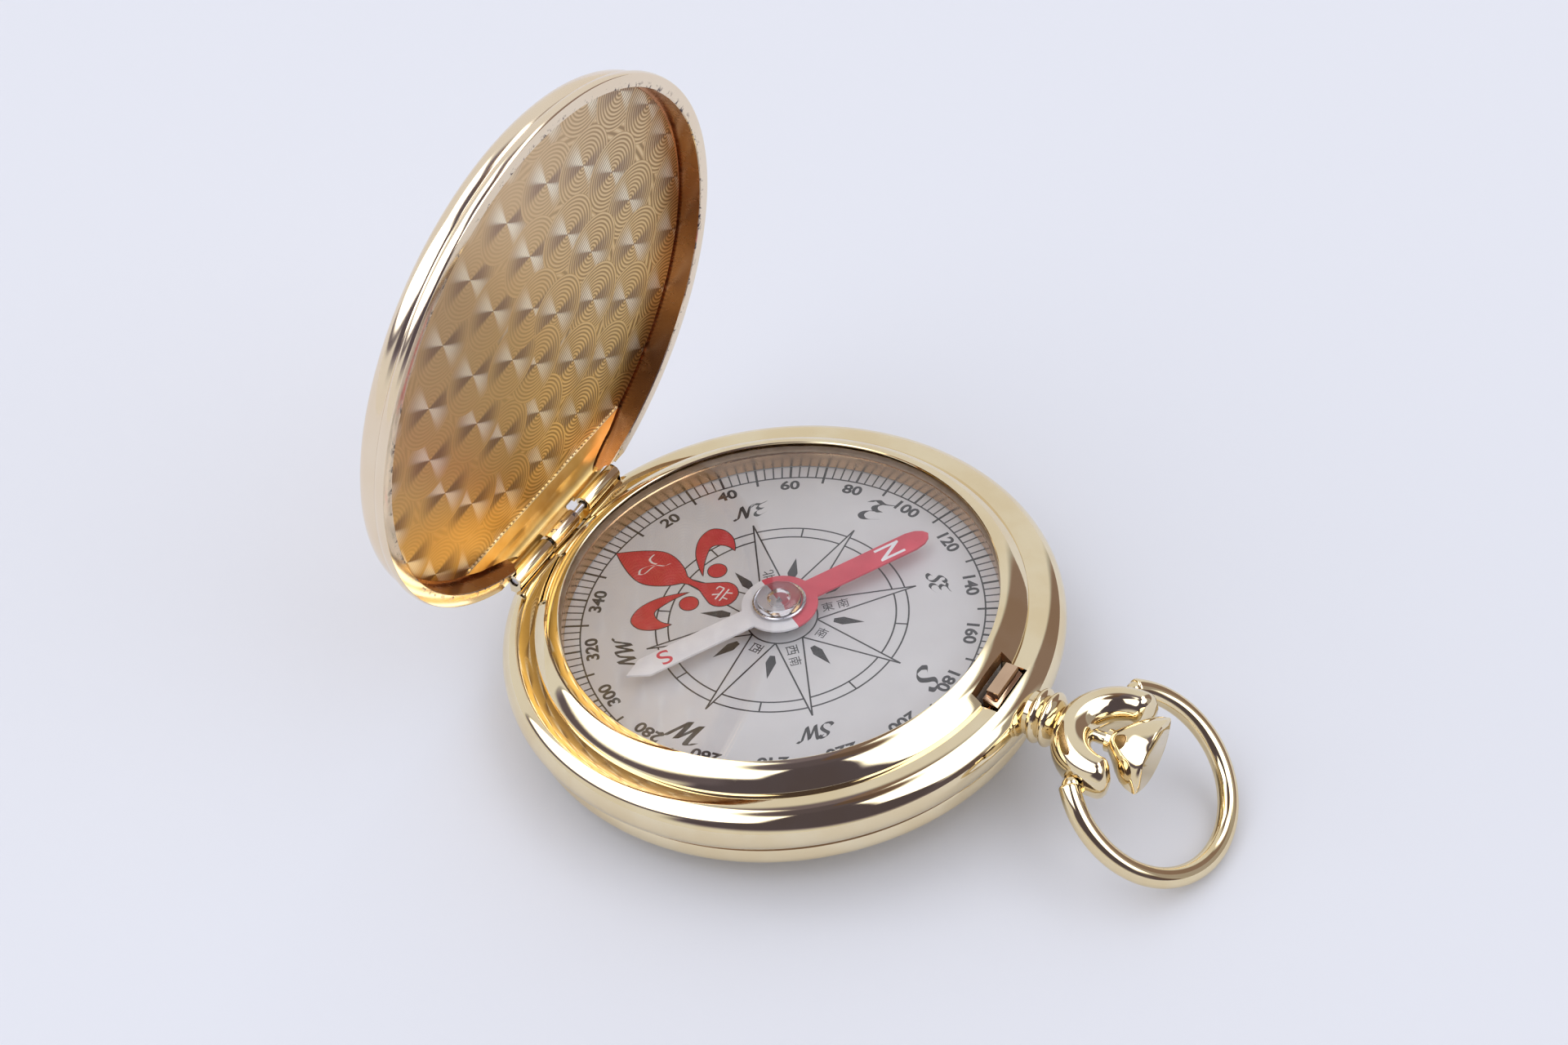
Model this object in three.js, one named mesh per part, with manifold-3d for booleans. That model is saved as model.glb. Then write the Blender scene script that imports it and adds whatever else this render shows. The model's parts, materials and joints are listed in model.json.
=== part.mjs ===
// Pocket watch compass: a round hinged-lid case, lying open on its domed back.
import * as THREE from 'three';
import { mergeVertices } from 'three/addons/utils/BufferGeometryUtils.js';
import Module from 'manifold-3d';

const wasm = await Module();
wasm.setup();

// Driving dimensions, in millimetres and degrees.
// The case's own frame has its origin at the middle of the back, +Z along the needle's axis,
// +X towards the pendant, and the lid's hinge along Y on the -X side.

// Clearances and facets
const FIT = 0.15;                // between pieces that are seated on each other
const RUN = 0.3;                 // between pieces that move past each other
const CASE_STEPS = 48;           // sides of the large rings
const SMALL_STEPS = 20;          // sides of the small turned pieces
const DOME_STEPS = 5;            // rings on a domed cover
const OVAL_STEPS = 3;            // points on a rounded corner
const WIRE_STEPS = 6;            // pairs of sides round a bent bar
const LEAF_STEPS = 6;            // pairs of sides along a leaf spring
const MERGE = 1e-4;              // vertices closer than this are one
const FAR = 100;                 // reach of a cutting block past the piece

// How the open case lies
const REST_TILT = 4;             // lean of the case towards its open lid
const REST_FLAT_RADIUS = 5;      // flat where the domed back meets the table
const LID_OPEN = 81.4;           // angle of the lid from closed
const BOW_LIFT = 0.1;            // height of the bow over the table

// Back cover
const BACK_RISE = 2;             // height of the dome
const BACK_WALL = 0.5;
const BEAD_LOWER = 1;            // height of the bead's lower round
const BEAD_UPPER = 1.05;         // from there to the seam
const BEAD_INSET = 0.85;         // of the bead from the widest part of the band
const BEAD_ROUND = 1.05;         // how far the bead overhangs the dome's edge
const BEAD_WALL = 1;
const BACK_LAND = 0.45;          // of the cover's top face past the inside of the band

// Band
const BAND_HEIGHT = 4;           // from the seam to the top of the roll
const BAND_WALL = 1.6;
const SEAM_INSET = 1;            // of the band's lower edge from its widest part
const EQUATOR = 1.7;             // widest part, over the lower edge
const ROLL_WIDTH = 2.05;         // from the groove to the widest part
const ROLL_CREST = 1.15;         // from the widest part in to the top of the roll
const GROOVE_WIDTH = 0.7;        // from the bezel to the bottom of the groove
const GROOVE_DEPTH = 0.45;
const FLANGE = 0.75;             // thickness under the groove

// Dial, cup and glass
const DIAL_RADIUS = 17.7;
const DIAL_THICKNESS = 0.6;
const DIAL_SINK = 1.06;          // of the dial's face under the groove
const CUP_WALL = 0.75;
const CUP_FLOOR = 0.8;
const SPACER_WIDTH = 2.6;
const REHAUT_WALL = 0.3;
const GASKET_WIDTH = 0.55;
const GASKET_THICKNESS = 0.2;
const CRYSTAL_OVERHANG = 0.25;   // of the glass past the dial
const CRYSTAL_THICKNESS = 0.4;
const CRYSTAL_LIFT = 2.1;        // of the glass's edge over the dial

// Bezel
const BEZEL_WIDTH = 1.65;        // outside the glass
const BEZEL_LIP = 0.4;           // over the glass
const LIP_THICKNESS = 0.16;
const BEZEL_CREST = 0.15;        // of the bezel over its lip
const BEZEL_FOOT = 0.45;         // upright part of the bezel's outer side
const BEZEL_ROUND = 1.3;         // width of its rounded part

// Needle and its bearing
const NEEDLE_LENGTH = 13.7;      // from the pivot to either tip
const NEEDLE_WIDTH = 2;
const NEEDLE_POINT = 1.6;        // length of the tapered tips
const NEEDLE_HEADING = 60.3;     // of the red arm from +X
const BLADE_THICKNESS = 0.2;
const HUB_RADIUS = 3.05;
const MAGNET_RADIUS = 2.7;
const MAGNET_WIDTH = 0.7;
const MAGNET_HEIGHT = 0.35;
const MAGNET_LIFT = 0.95;        // over the dial
const CAP_RADIUS = 1.75;
const CAP_HEIGHT = 0.85;         // over the blade
const CAP_DOME = 0.35;           // height of the cap's rounded top
const CAP_ROOF = 0.3;            // over the point's bore
const CAP_SKIRT_RADIUS = 1.1;    // through the blade
const CAP_RING_WIDTH = 0.25;
const CAP_RING_HEIGHT = 0.2;
const CAP_CLEARANCE = 0.2;       // under the glass
const POST_RADIUS = 0.6;
const POST_HEIGHT = 1.3;
const POINT_RADIUS = 0.3;
const POINT_TIP_RADIUS = 0.05;
const POINT_TAPER = 0.55;        // length of the cone

// Lid
const LID_INSET = 0.45;          // of the rim's outer edge from the widest part of the band
const LID_RIM = 1.16;            // width of the rim's flat edge
const LID_BEAD = 0.05;           // of the rolled rim past its edge
const LID_BEAD_HEIGHT = 0.8;     // of the rolled rim's widest part
const LID_NECK_INSET = 0.55;     // of the side over the rolled rim from the rim's outer edge
const LID_SHOULDER_INSET = 1.05; // of the dome's edge from the rim's outer edge
const LID_SHOULDER = 0.4;        // of the dome's edge over the liner
const LID_RISE = 2.1;            // of the dome
const LID_ROOF = 0.6;
const LID_CLEARANCE = 0.6;       // between the closed liner and the bezel
const LINER_THICKNESS = 0.3;
const CHORD_INSET = 3.35;        // of the liner's straight edge from the hinge axis
const LID_HEEL = 0.7;            // of the lid's cut edge from the hinge axis

// Hinge
const HINGE_INSET = 1.75;        // of the axis from the widest part of the band
const KNUCKLE_RADIUS = 0.7;
const KNUCKLE_END = 7.3;         // of the hinge from the middle
const NEAR_KNUCKLE_END = -2.5;
const LID_KNUCKLE_START = -2.2;
const LID_KNUCKLE_END = 1.3;
const FAR_KNUCKLE_START = 2.7;
const PIN_RADIUS = 0.3;
const PIN_PLAY = 0.1;

// Leaf springs in the channel of the band
const LEAF_THICKNESS = 0.6;
const LEAF_HEIGHT = 2.1;
const LEAF_OFFSET = 0.85;        // of the leaf from the channel's wall
const CATCH_SCREW_ANGLE = -62;   // direction of the catch's screw from +X
const CATCH_END_ANGLE = 5;       // where the catch's leaf ends
const LIFT_SCREW_ANGLE = 112;
const LIFT_END_ANGLE = 170;
const LEAF_TAIL_ANGLE = 4;       // of a leaf past its screw
const SCREW_RADIUS = 0.45;
const SCREW_HEAD_RADIUS = 0.8;
const SCREW_HEAD = 0.25;
const NOSE_WIDTH = 3.2;
const NOSE_TOP = 0.7;            // over the top of the roll
const HOOK_REACH = 0.4;
const HOOK_HEIGHT = 0.6;
const NOTCH_WIDTH = 4.8;
const NOTCH_WALL = 0.5;          // of the bezel left inside the notch

// Pendant, crown and bow
const PENDANT_RISE = 2;          // of the pendant's axis over the band's lower edge
const NECK_LENGTH = 1.9;
const NECK_RADIUS = 1.75;
const NECK_BEAD = 0.45;          // of the two beads over the neck
const NECK_STEPS = 12;           // rings along both beads
const YOKE_RADIUS = 3.5;         // of the crescent's middle line
const YOKE_THICKNESS = 2.8;
const YOKE_HEIGHT = 3.9;
const BOW_SETBACK = 1.17;        // of the bow's axis from the crescent's centre
const BOW_RADIUS = 7.49;         // of the ring's middle line
const BOW_OFFSET = 4.84;         // of the ring's centre from its axis
const BOW_WIRE = 0.75;           // radius
const BOW_PIN = 0.5;             // radius of the ring's two end pins
const BOW_PIN_DEPTH = 0.9;       // of a pin in the crescent
const BOW_STEPS = 40;
const STEM_RADIUS = 0.5;
const CROWN_TRAVEL = 0.6;
const CROWN_NECK_RADIUS = 0.9;
const CROWN_NECK_LENGTH = 1.7;
const CROWN_FLARE_RADIUS = 1.6;
const CROWN_HALF_LENGTH = 3.3;   // to each point of the head
const CROWN_HALF_WIDTH = 1.8;
const CROWN_DEPTH = 2.1;
const CROWN_BEVEL = 0.45;
const CROWN_TURN = 20;           // of the head round the pendant's axis
const CROWN_STEPS = 12;          // along each side of the head

// Radii that follow, from the dial outwards
const cupBore = DIAL_RADIUS + FIT;
const cupRadius = cupBore + CUP_WALL;
const bandBore = cupRadius + FIT;
const rehautRadius = cupBore - FIT;
const crystalRadius = DIAL_RADIUS + CRYSTAL_OVERHANG;
const bezelSeat = crystalRadius + FIT;
const lipRadius = crystalRadius - BEZEL_LIP;
const bezelRadius = bezelSeat + BEZEL_WIDTH;
const grooveRadius = bezelRadius + GROOVE_WIDTH;
const caseRadius = grooveRadius + ROLL_WIDTH;
const channelRadius = caseRadius - BAND_WALL;
const leafRadius = channelRadius - LEAF_OFFSET;
const lidRadius = caseRadius - LID_INSET;
const lidBore = lidRadius - LID_RIM;
const linerRadius = lidBore - RUN;

// Heights that follow, from the back upwards
const beadMiddle = BACK_RISE + BEAD_LOWER;
const seam = beadMiddle + BEAD_UPPER;
const bandBottom = seam + FIT;
const bandTop = bandBottom + BAND_HEIGHT;
const groove = bandTop - GROOVE_DEPTH;
const channelTop = groove - FLANGE;
const pendantHeight = bandBottom + PENDANT_RISE;
const dialTop = groove - DIAL_SINK;
const cupFloorTop = dialTop - DIAL_THICKNESS - FIT;
const cupBottom = cupFloorTop - CUP_FLOOR;
const magnetBottom = dialTop + MAGNET_LIFT;
const bladeBottom = magnetBottom + MAGNET_HEIGHT + FIT;
const bladeTop = bladeBottom + BLADE_THICKNESS;
const capBottom = bladeTop + FIT;
const capTop = capBottom + CAP_HEIGHT;
const crystalBottom = dialTop + CRYSTAL_LIFT;
const crystalRise = capTop + CAP_CLEARANCE - crystalBottom;
const crystalTop = crystalBottom + CRYSTAL_THICKNESS;
const gasketTop = crystalBottom - FIT;
const gasketBottom = gasketTop - GASKET_THICKNESS;
const bezelBottom = groove + FIT;
const lipBottom = crystalTop + FIT;
const lipTop = lipBottom + LIP_THICKNESS;
const bezelTop = lipTop + BEZEL_CREST;
const lidRim = bandTop + FIT;
const linerBottom = bezelTop + LID_CLEARANCE;
const linerTop = linerBottom + LINER_THICKNESS;
const lidShoulder = linerTop + FIT + LID_SHOULDER;

// Places of the hinge, the crown and the bow
const hingeX = HINGE_INSET - caseRadius;
const hingeZ = lidRim;
const yokeX = caseRadius + FIT + NECK_LENGTH + FIT + YOKE_THICKNESS / 2 + YOKE_RADIUS;
const bowX = yokeX - BOW_SETBACK;
const crownHeadX = yokeX + RUN + CROWN_TRAVEL;
const crownStartX = crownHeadX - CROWN_NECK_LENGTH;

// The sphere of a dome that rises this much over this edge
const sphereOver = (edge, rise) => (edge ** 2 + rise ** 2) / (2 * rise);

// The dome rests on a small flat, and the bow droops until it nearly meets the table
const tilt = THREE.MathUtils.degToRad(REST_TILT);
const backEdge = caseRadius - BEAD_INSET - BEAD_ROUND;
const backSphere = sphereOver(backEdge, BACK_RISE);
const restDepth = REST_FLAT_RADIUS ** 2 / (2 * backSphere);
const restLift = backSphere - restDepth - backSphere * Math.cos(tilt);
const bowAxisHeight = bowX * Math.sin(tilt) + pendantHeight * Math.cos(tilt) + restLift;
const bowReach = BOW_OFFSET + BOW_RADIUS;
const bowDroop = Math.asin((bowAxisHeight - BOW_WIRE - BOW_LIFT) / bowReach) + tilt;

// Finishes
const finish = (color, metalness, roughness) =>
  new THREE.MeshStandardMaterial({ color, metalness, roughness });
const GOLD = finish(0xd9b36a, 1, 0.15);
const SATIN_GOLD = finish(0xc79a4b, 1, 0.4);
const STEEL = finish(0x9a9ca3, 1, 0.3);
const BRASS = finish(0xb8924a, 1, 0.35);
const CARD = finish(0xd2cdc8, 0, 0.6);
const PAINT = finish(0xc8323f, 0, 0.45);
const CLEAR = finish(0xe8eef2, 0, 0.05);
const RUBBER = finish(0x222222, 0, 0.8);
const PLASTIC = finish(0x8a8a86, 0, 0.6);
const MAGNET = finish(0x6a6a70, 0.6, 0.5);

// A closed solid from any closed geometry, with collapsed triangles left out
function solid(geometry) {
  const bare = geometry.clone();
  bare.deleteAttribute('normal');
  bare.deleteAttribute('uv');
  const merged = mergeVertices(bare, MERGE);
  const index = merged.index.array;
  const kept = [];
  for (let i = 0; i < index.length; i += 3) {
    const [a, b, c] = index.subarray(i, i + 3);
    if (a !== b && b !== c && c !== a) kept.push(a, b, c);
  }
  const vertProperties = Float32Array.from(merged.attributes.position.array);
  const triVerts = Uint32Array.from(kept);
  return new wasm.Manifold(new wasm.Mesh({ numProp: 3, vertProperties, triVerts }));
}

function geometryOf(shape) {
  const { vertProperties, triVerts } = shape.getMesh();
  const geometry = new THREE.BufferGeometry();
  geometry.setAttribute('position', new THREE.BufferAttribute(vertProperties, 3));
  geometry.setIndex(new THREE.BufferAttribute(triVerts, 1));
  geometry.computeVertexNormals();
  return geometry;
}

function piece(name, shape, material) {
  const mesh = new THREE.Mesh(geometryOf(shape), material);
  mesh.name = name;
  return mesh;
}

// Turned geometry about Z from [radius, height] points, anticlockwise round the section
function turned(points, steps = SMALL_STEPS) {
  const outline = points.map(([r, z]) => new THREE.Vector2(r, z));
  const onAxis = [points[0], points.at(-1)].every(([r]) => r < MERGE);
  if (!onAxis) outline.push(outline[0].clone());
  return new THREE.LatheGeometry(outline, steps).rotateX(Math.PI / 2);
}

const ring = (inner, outer, low, high, steps) =>
  turned([[outer, low], [outer, high], [inner, high], [inner, low]], steps);
const disc = (radius, low, high, steps) =>
  turned([[0, low], [radius, low], [radius, high], [0, high]], steps);

// Turns a geometry's Z axis to X or to Y
const X_AXIS = new THREE.Vector3(1, 0, 0);
const Y_AXIS = new THREE.Vector3(0, 1, 0);
const Z_AXIS = new THREE.Vector3(0, 0, 1);
const alongX = (geometry) =>
  geometry.applyMatrix4(new THREE.Matrix4().makeBasis(Y_AXIS, Z_AXIS, X_AXIS));
const alongY = (geometry) =>
  geometry.applyMatrix4(new THREE.Matrix4().makeBasis(Z_AXIS, X_AXIS, Y_AXIS));

// A block between two corners
function block(low, high) {
  const size = high.map((value, i) => value - low[i]);
  const middle = high.map((value, i) => (value + low[i]) / 2);
  return new THREE.BoxGeometry(...size).translate(...middle);
}

// An outline in XY, raised between two heights
function raised(shape, low, high, curveSegments = SMALL_STEPS) {
  const options = { depth: high - low, bevelEnabled: false, curveSegments };
  return new THREE.ExtrudeGeometry(shape, options).translate(0, 0, low);
}

// How far a sphere has fallen away from its top at a radius
const fall = (sphere, radius) => sphere - Math.sqrt(sphere ** 2 - radius ** 2);

// Radii of a dome's rings, from its edge to the axis
const domeRings = (edge) => Array.from({ length: DOME_STEPS + 1 }, (_, i) => edge * (1 - i / DOME_STEPS));

// A quarter of an oval, from a point where it stands upright to one where it lies level
function oval([r0, z0], [r1, z1]) {
  return Array.from({ length: OVAL_STEPS + 1 }, (_, i) => {
    const angle = i / OVAL_STEPS * Math.PI / 2;
    return [r1 + (r0 - r1) * Math.cos(angle), z0 + (z1 - z0) * Math.sin(angle)];
  });
}

// Height of the inside of the back at a radius
const backInside = (radius) => BACK_WALL + fall(backSphere - BACK_WALL, radius);

// Back cover: a dome with a rolled bead, cut flat where it rests
function backCover() {
  const beadRadius = caseRadius - BEAD_INSET;
  const beadBore = beadRadius - BEAD_WALL;
  const shell = turned([
    ...domeRings(backEdge).reverse().map((r) => [r, fall(backSphere, r)]).slice(0, -1),
    ...oval([beadRadius, beadMiddle], [backEdge, BACK_RISE]).reverse(),
    ...oval([beadRadius, beadMiddle], [channelRadius + BACK_LAND, seam]).slice(1),
    [beadBore, seam],
    [beadBore, BACK_RISE + BACK_WALL],
    ...domeRings(backEdge - BACK_WALL).map((r) => [r, backInside(r)]),
  ], CASE_STEPS);
  const table = block([-FAR, -FAR, -FAR], [FAR, FAR, 0]);
  table.translate(0, 0, restDepth - backSphere).rotateY(tilt).translate(0, 0, backSphere);
  return solid(shell).subtract(solid(table));
}

// Band: a rolled outer wall with a flange inwards, notched for the hinge and the catch
function caseBand() {
  const widest = bandBottom + EQUATOR;
  const crest = caseRadius - ROLL_CREST;
  const section = turned([
    ...oval([caseRadius, widest], [caseRadius - SEAM_INSET, bandBottom]).reverse(),
    ...oval([caseRadius, widest], [crest, bandTop]).slice(1),
    [grooveRadius, groove],
    [bandBore, groove],
    [bandBore, channelTop],
    [channelRadius, channelTop],
    [channelRadius, bandBottom],
  ], CASE_STEPS);
  const hingeSide = hingeX + KNUCKLE_RADIUS + RUN;
  const hingeEnd = KNUCKLE_END + RUN;
  const hingeFloor = hingeZ - KNUCKLE_RADIUS - RUN;
  const hingeNotch = block([-FAR, -hingeEnd, hingeFloor], [hingeSide, hingeEnd, FAR]);
  const slotEnd = leafRadius + HOOK_REACH + RUN;
  const slot = block([0, -NOTCH_WIDTH / 2, channelTop - RUN], [slotEnd, NOTCH_WIDTH / 2, FAR]);
  return solid(section)
    .subtract(solid(hingeNotch))
    .subtract(solid(slot))
    .subtract(stemBore());
}

// The bore that the crown's stem runs in
function stemBore() {
  return solid(alongX(disc(STEM_RADIUS + RUN, 0, FAR)).translate(0, 0, pendantHeight));
}

// Bezel: a convex ring with a lip over the glass and a notch for the catch
function bezel() {
  const section = turned([
    [bezelRadius, bezelBottom],
    ...oval([bezelRadius, bezelBottom + BEZEL_FOOT], [bezelRadius - BEZEL_ROUND, bezelTop]),
    [lipRadius, lipTop],
    [lipRadius, lipBottom],
    [bezelSeat, lipBottom],
    [bezelSeat, bezelBottom],
  ], CASE_STEPS);
  const half = NOTCH_WIDTH / 2;
  return solid(section).subtract(solid(block([bezelSeat + NOTCH_WALL, -half, 0], [FAR, half, FAR])));
}

// Glass: a shallow dome of even thickness
function crystal() {
  const sphere = sphereOver(crystalRadius, crystalRise);
  const rings = domeRings(crystalRadius);
  const crownOf = (edge) => (r) => [r, edge + crystalRise - fall(sphere, r)];
  return solid(turned([
    ...rings.toReversed().map(crownOf(crystalBottom)),
    ...rings.map(crownOf(crystalTop)),
  ], CASE_STEPS));
}

// Cup: a floor and wall that carry the dial
function compassCup() {
  const top = bezelBottom - FIT;
  return solid(turned([
    [0, cupBottom], [cupRadius, cupBottom], [cupRadius, top],
    [cupBore, top], [cupBore, cupFloorTop], [0, cupFloorTop],
  ], CASE_STEPS));
}

// Spacer between the cup's floor and the inside of the dome
function cupSpacer() {
  const outer = cupRadius - FIT;
  return solid(ring(outer - SPACER_WIDTH, outer, backInside(outer) + FIT, cupBottom - FIT, CASE_STEPS));
}

// Needle: a flat bar with a round hub, one end rounded and one pointed
function needleBlade() {
  const half = NEEDLE_WIDTH / 2;
  const shoulder = NEEDLE_LENGTH - NEEDLE_POINT;
  const bar = new THREE.Shape();
  bar.moveTo(-shoulder, -half);
  bar.lineTo(shoulder, -half);
  bar.quadraticCurveTo(NEEDLE_LENGTH, -half, NEEDLE_LENGTH, 0);
  bar.quadraticCurveTo(NEEDLE_LENGTH, half, shoulder, half);
  bar.lineTo(-shoulder, half);
  bar.lineTo(-NEEDLE_LENGTH, 0);
  bar.closePath();
  const arms = solid(raised(bar, bladeBottom, bladeTop, OVAL_STEPS));
  const hub = solid(disc(HUB_RADIUS, bladeBottom, bladeTop));
  const hole = solid(disc(CAP_SKIRT_RADIUS + FIT, 0, FAR));
  return arms.add(hub).subtract(hole);
}

// Clear cap: a dome over a skirt that runs through the blade, bored for the point
function needleCap() {
  const skirt = magnetBottom + MAGNET_HEIGHT;
  const bore = POINT_RADIUS + FIT;
  const boreTop = capTop - CAP_ROOF;
  return solid(turned([
    [0, boreTop], [bore, boreTop], [bore, skirt],
    [CAP_SKIRT_RADIUS, skirt], [CAP_SKIRT_RADIUS, capBottom], [CAP_RADIUS, capBottom],
    ...oval([CAP_RADIUS, capTop - CAP_DOME], [0, capTop]),
  ]));
}

// Steel point under the cap
function pivotPoint() {
  const bottom = cupFloorTop + FIT + POST_HEIGHT + FIT;
  const tip = capTop - CAP_ROOF - FIT;
  return solid(turned([
    [0, bottom], [POINT_RADIUS, bottom], [POINT_RADIUS, tip - POINT_TAPER],
    [POINT_TIP_RADIUS, tip], [0, tip],
  ]));
}

// Lid, drawn closed: a rolled rim, a straight inner wall and a dome
function lidShell() {
  const roofEdge = linerTop + FIT;
  const domeEdge = lidRadius - LID_SHOULDER_INSET;
  const domeSphere = sphereOver(domeEdge, LID_RISE);
  const roofRise = LID_RISE + LID_SHOULDER - LID_ROOF;
  const roofSphere = sphereOver(lidBore, roofRise);
  const neck = lidRadius - LID_NECK_INSET;
  const bead = [lidRadius + LID_BEAD, lidRim + LID_BEAD_HEIGHT];
  const shell = solid(turned([
    ...oval(bead, [lidRadius, lidRim]).reverse(),
    ...oval(bead, [neck, lidRim + 2 * LID_BEAD_HEIGHT]).slice(1),
    [neck, lidShoulder - LID_SHOULDER],
    ...domeRings(domeEdge).map((r) => [r, lidShoulder + LID_RISE - fall(domeSphere, r)]),
    ...domeRings(lidBore).reverse().map((r) => [r, roofEdge + roofRise - fall(roofSphere, r)]),
    [lidBore, lidRim],
  ], CASE_STEPS));
  const behindHinge = solid(block([-FAR, -FAR, -FAR], [hingeX + LID_HEEL, FAR, FAR]));
  return shell.subtract(behindHinge).subtract(knuckleRoom());
}

// The room that the lid leaves round all the knuckles
function knuckleRoom() {
  const end = KNUCKLE_END + RUN;
  return solid(alongY(disc(KNUCKLE_RADIUS + RUN, -end, end)).translate(hingeX, 0, hingeZ));
}

// Engine-turned plate with one straight edge
function lidLiner() {
  const chord = hingeX + CHORD_INSET + FIT;
  const half = Math.acos(chord / linerRadius);
  const plate = new THREE.Shape();
  plate.absarc(0, 0, linerRadius, -half, half, false);
  plate.closePath();
  return solid(raised(plate, linerBottom, linerTop, CASE_STEPS / 2));
}

// Strip between the liner's straight edge and the hinge, hollowed to clear the bezel when closed
function lidHingeBar() {
  const chord = hingeX + CHORD_INSET;
  const heel = hingeX + LID_HEEL;
  const hollow = oval([bezelRadius + RUN, bezelBottom + BEZEL_FOOT], [bezelRadius - BEZEL_ROUND, bezelTop + RUN]);
  const under = hollow.slice(1);
  const section = new THREE.Shape();
  section.moveTo(linerBottom, chord);
  section.lineTo(linerTop, chord);
  section.lineTo(linerTop, heel);
  section.lineTo(under[0][1], heel);
  for (const [r, z] of under) section.lineTo(z, -r);
  section.closePath();
  const bar = solid(alongY(raised(section, -linerRadius, linerRadius)));
  return bar.intersect(solid(disc(linerRadius, 0, FAR, CASE_STEPS))).subtract(knuckleRoom());
}

function knuckle(start, end) {
  const tube = ring(PIN_RADIUS + PIN_PLAY, KNUCKLE_RADIUS, start, end);
  return solid(alongY(tube).translate(hingeX, 0, hingeZ));
}

// A leaf that follows the channel between two directions, with a hole for its screw
function leaf(start, end, screwAt) {
  const from = THREE.MathUtils.degToRad(start);
  const to = THREE.MathUtils.degToRad(end);
  const arc = new THREE.Shape();
  arc.absarc(0, 0, leafRadius, from, to, false);
  arc.absarc(0, 0, leafRadius - LEAF_THICKNESS, to, from, true);
  arc.closePath();
  const top = channelTop - FIT;
  const strip = solid(raised(arc, top - LEAF_HEIGHT, top, LEAF_STEPS));
  const hole = disc(SCREW_RADIUS + FIT, bandBore, caseRadius);
  return strip.subtract(solid(placeScrew(hole, screwAt)));
}

// Puts a turned screw on its radius, at the height of the leaves' middle
function placeScrew(geometry, direction) {
  const height = channelTop - FIT - LEAF_HEIGHT / 2;
  return alongX(geometry).translate(0, 0, height).rotateZ(THREE.MathUtils.degToRad(direction));
}

function screw(direction) {
  const inside = leafRadius - LEAF_THICKNESS - FIT;
  return solid(placeScrew(turned([
    [0, inside - SCREW_HEAD], [SCREW_HEAD_RADIUS, inside - SCREW_HEAD],
    [SCREW_HEAD_RADIUS, inside], [SCREW_RADIUS, inside],
    [SCREW_RADIUS, channelRadius - FIT], [0, channelRadius - FIT],
  ]), direction));
}

// Catch: a leaf with an upright nose, hooked outwards over the groove
function catchSpring() {
  const half = NOSE_WIDTH / 2;
  const inside = leafRadius - LEAF_THICKNESS;
  const top = bandTop + NOSE_TOP;
  const foot = channelTop - FIT - LEAF_HEIGHT / 4;
  const face = Math.sqrt(leafRadius ** 2 - half ** 2);
  const nose = solid(block([inside, -half, foot], [face, half, top]));
  const hook = solid(block([inside, -half, top - HOOK_HEIGHT], [leafRadius + HOOK_REACH, half, top]));
  return leaf(CATCH_SCREW_ANGLE - LEAF_TAIL_ANGLE, CATCH_END_ANGLE, CATCH_SCREW_ANGLE).add(nose).add(hook);
}

// Beaded neck on the pendant's axis
function pendantNeck() {
  const start = caseRadius + FIT;
  const side = Array.from({ length: NECK_STEPS + 1 }, (_, i) => {
    const along = i / NECK_STEPS;
    return [NECK_RADIUS + NECK_BEAD * Math.abs(Math.sin(2 * Math.PI * along)), start + NECK_LENGTH * along];
  });
  const neck = turned([[0, start], ...side, [0, start + NECK_LENGTH]]);
  return solid(alongX(neck).translate(0, 0, pendantHeight)).subtract(stemBore());
}

// Crescent round the crown, with a socket for the bow near each end
function bowYoke() {
  const bend = new THREE.EllipseCurve(0, 0, YOKE_RADIUS, YOKE_RADIUS, Math.PI / 2, Math.PI * 1.5);
  const points = bend.getPoints(SMALL_STEPS).map(({ x, y }) => new THREE.Vector3(x, y, 0));
  const extrudePath = new THREE.CatmullRomCurve3(points);
  const section = new THREE.Shape();
  section.absellipse(0, 0, YOKE_HEIGHT / 2, YOKE_THICKNESS / 2, 0, 2 * Math.PI, false);
  const bar = new THREE.ExtrudeGeometry(section, {
    steps: SMALL_STEPS, curveSegments: WIRE_STEPS, extrudePath,
  });
  const sockets = [-1, 1].map((side) => {
    const inner = side * (bowEndY() - BOW_PIN_DEPTH - FIT - BOW_WIRE);
    const [low, high] = [inner, side * FAR].sort((a, b) => a - b);
    return solid(alongY(disc(BOW_PIN + FIT, low, high)).translate(bowX, 0, pendantHeight));
  });
  const yoke = solid(bar.translate(yokeX, 0, pendantHeight)).subtract(stemBore());
  return yoke.subtract(sockets[0]).subtract(sockets[1]);
}

// Where the ring's middle line meets the bow's axis
function bowEndY() {
  return Math.sqrt(BOW_RADIUS ** 2 - BOW_OFFSET ** 2);
}

// Bow, drawn about its own axis: an open ring of wire with a pin turned in at each end
function bowRing() {
  const open = Math.acos(-BOW_OFFSET / BOW_RADIUS);
  const points = Array.from({ length: BOW_STEPS + 1 }, (_, i) => {
    const angle = open * (2 * i / BOW_STEPS - 1);
    return new THREE.Vector3(
      BOW_OFFSET + BOW_RADIUS * Math.cos(angle), BOW_RADIUS * Math.sin(angle), 0);
  });
  const section = new THREE.Shape();
  section.absarc(0, 0, BOW_WIRE, 0, 2 * Math.PI, false);
  const wire = new THREE.ExtrudeGeometry(section, {
    steps: BOW_STEPS, curveSegments: WIRE_STEPS, extrudePath: new THREE.CatmullRomCurve3(points),
  });
  const pins = [-1, 1].map((side) => {
    const ends = [side * bowEndY(), side * (bowEndY() - BOW_WIRE - BOW_PIN_DEPTH)];
    const [low, high] = ends.sort((a, b) => a - b);
    return solid(alongY(disc(BOW_PIN, low, high, SMALL_STEPS / 2)));
  });
  return solid(wire).add(pins[0]).add(pins[1]);
}

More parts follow.
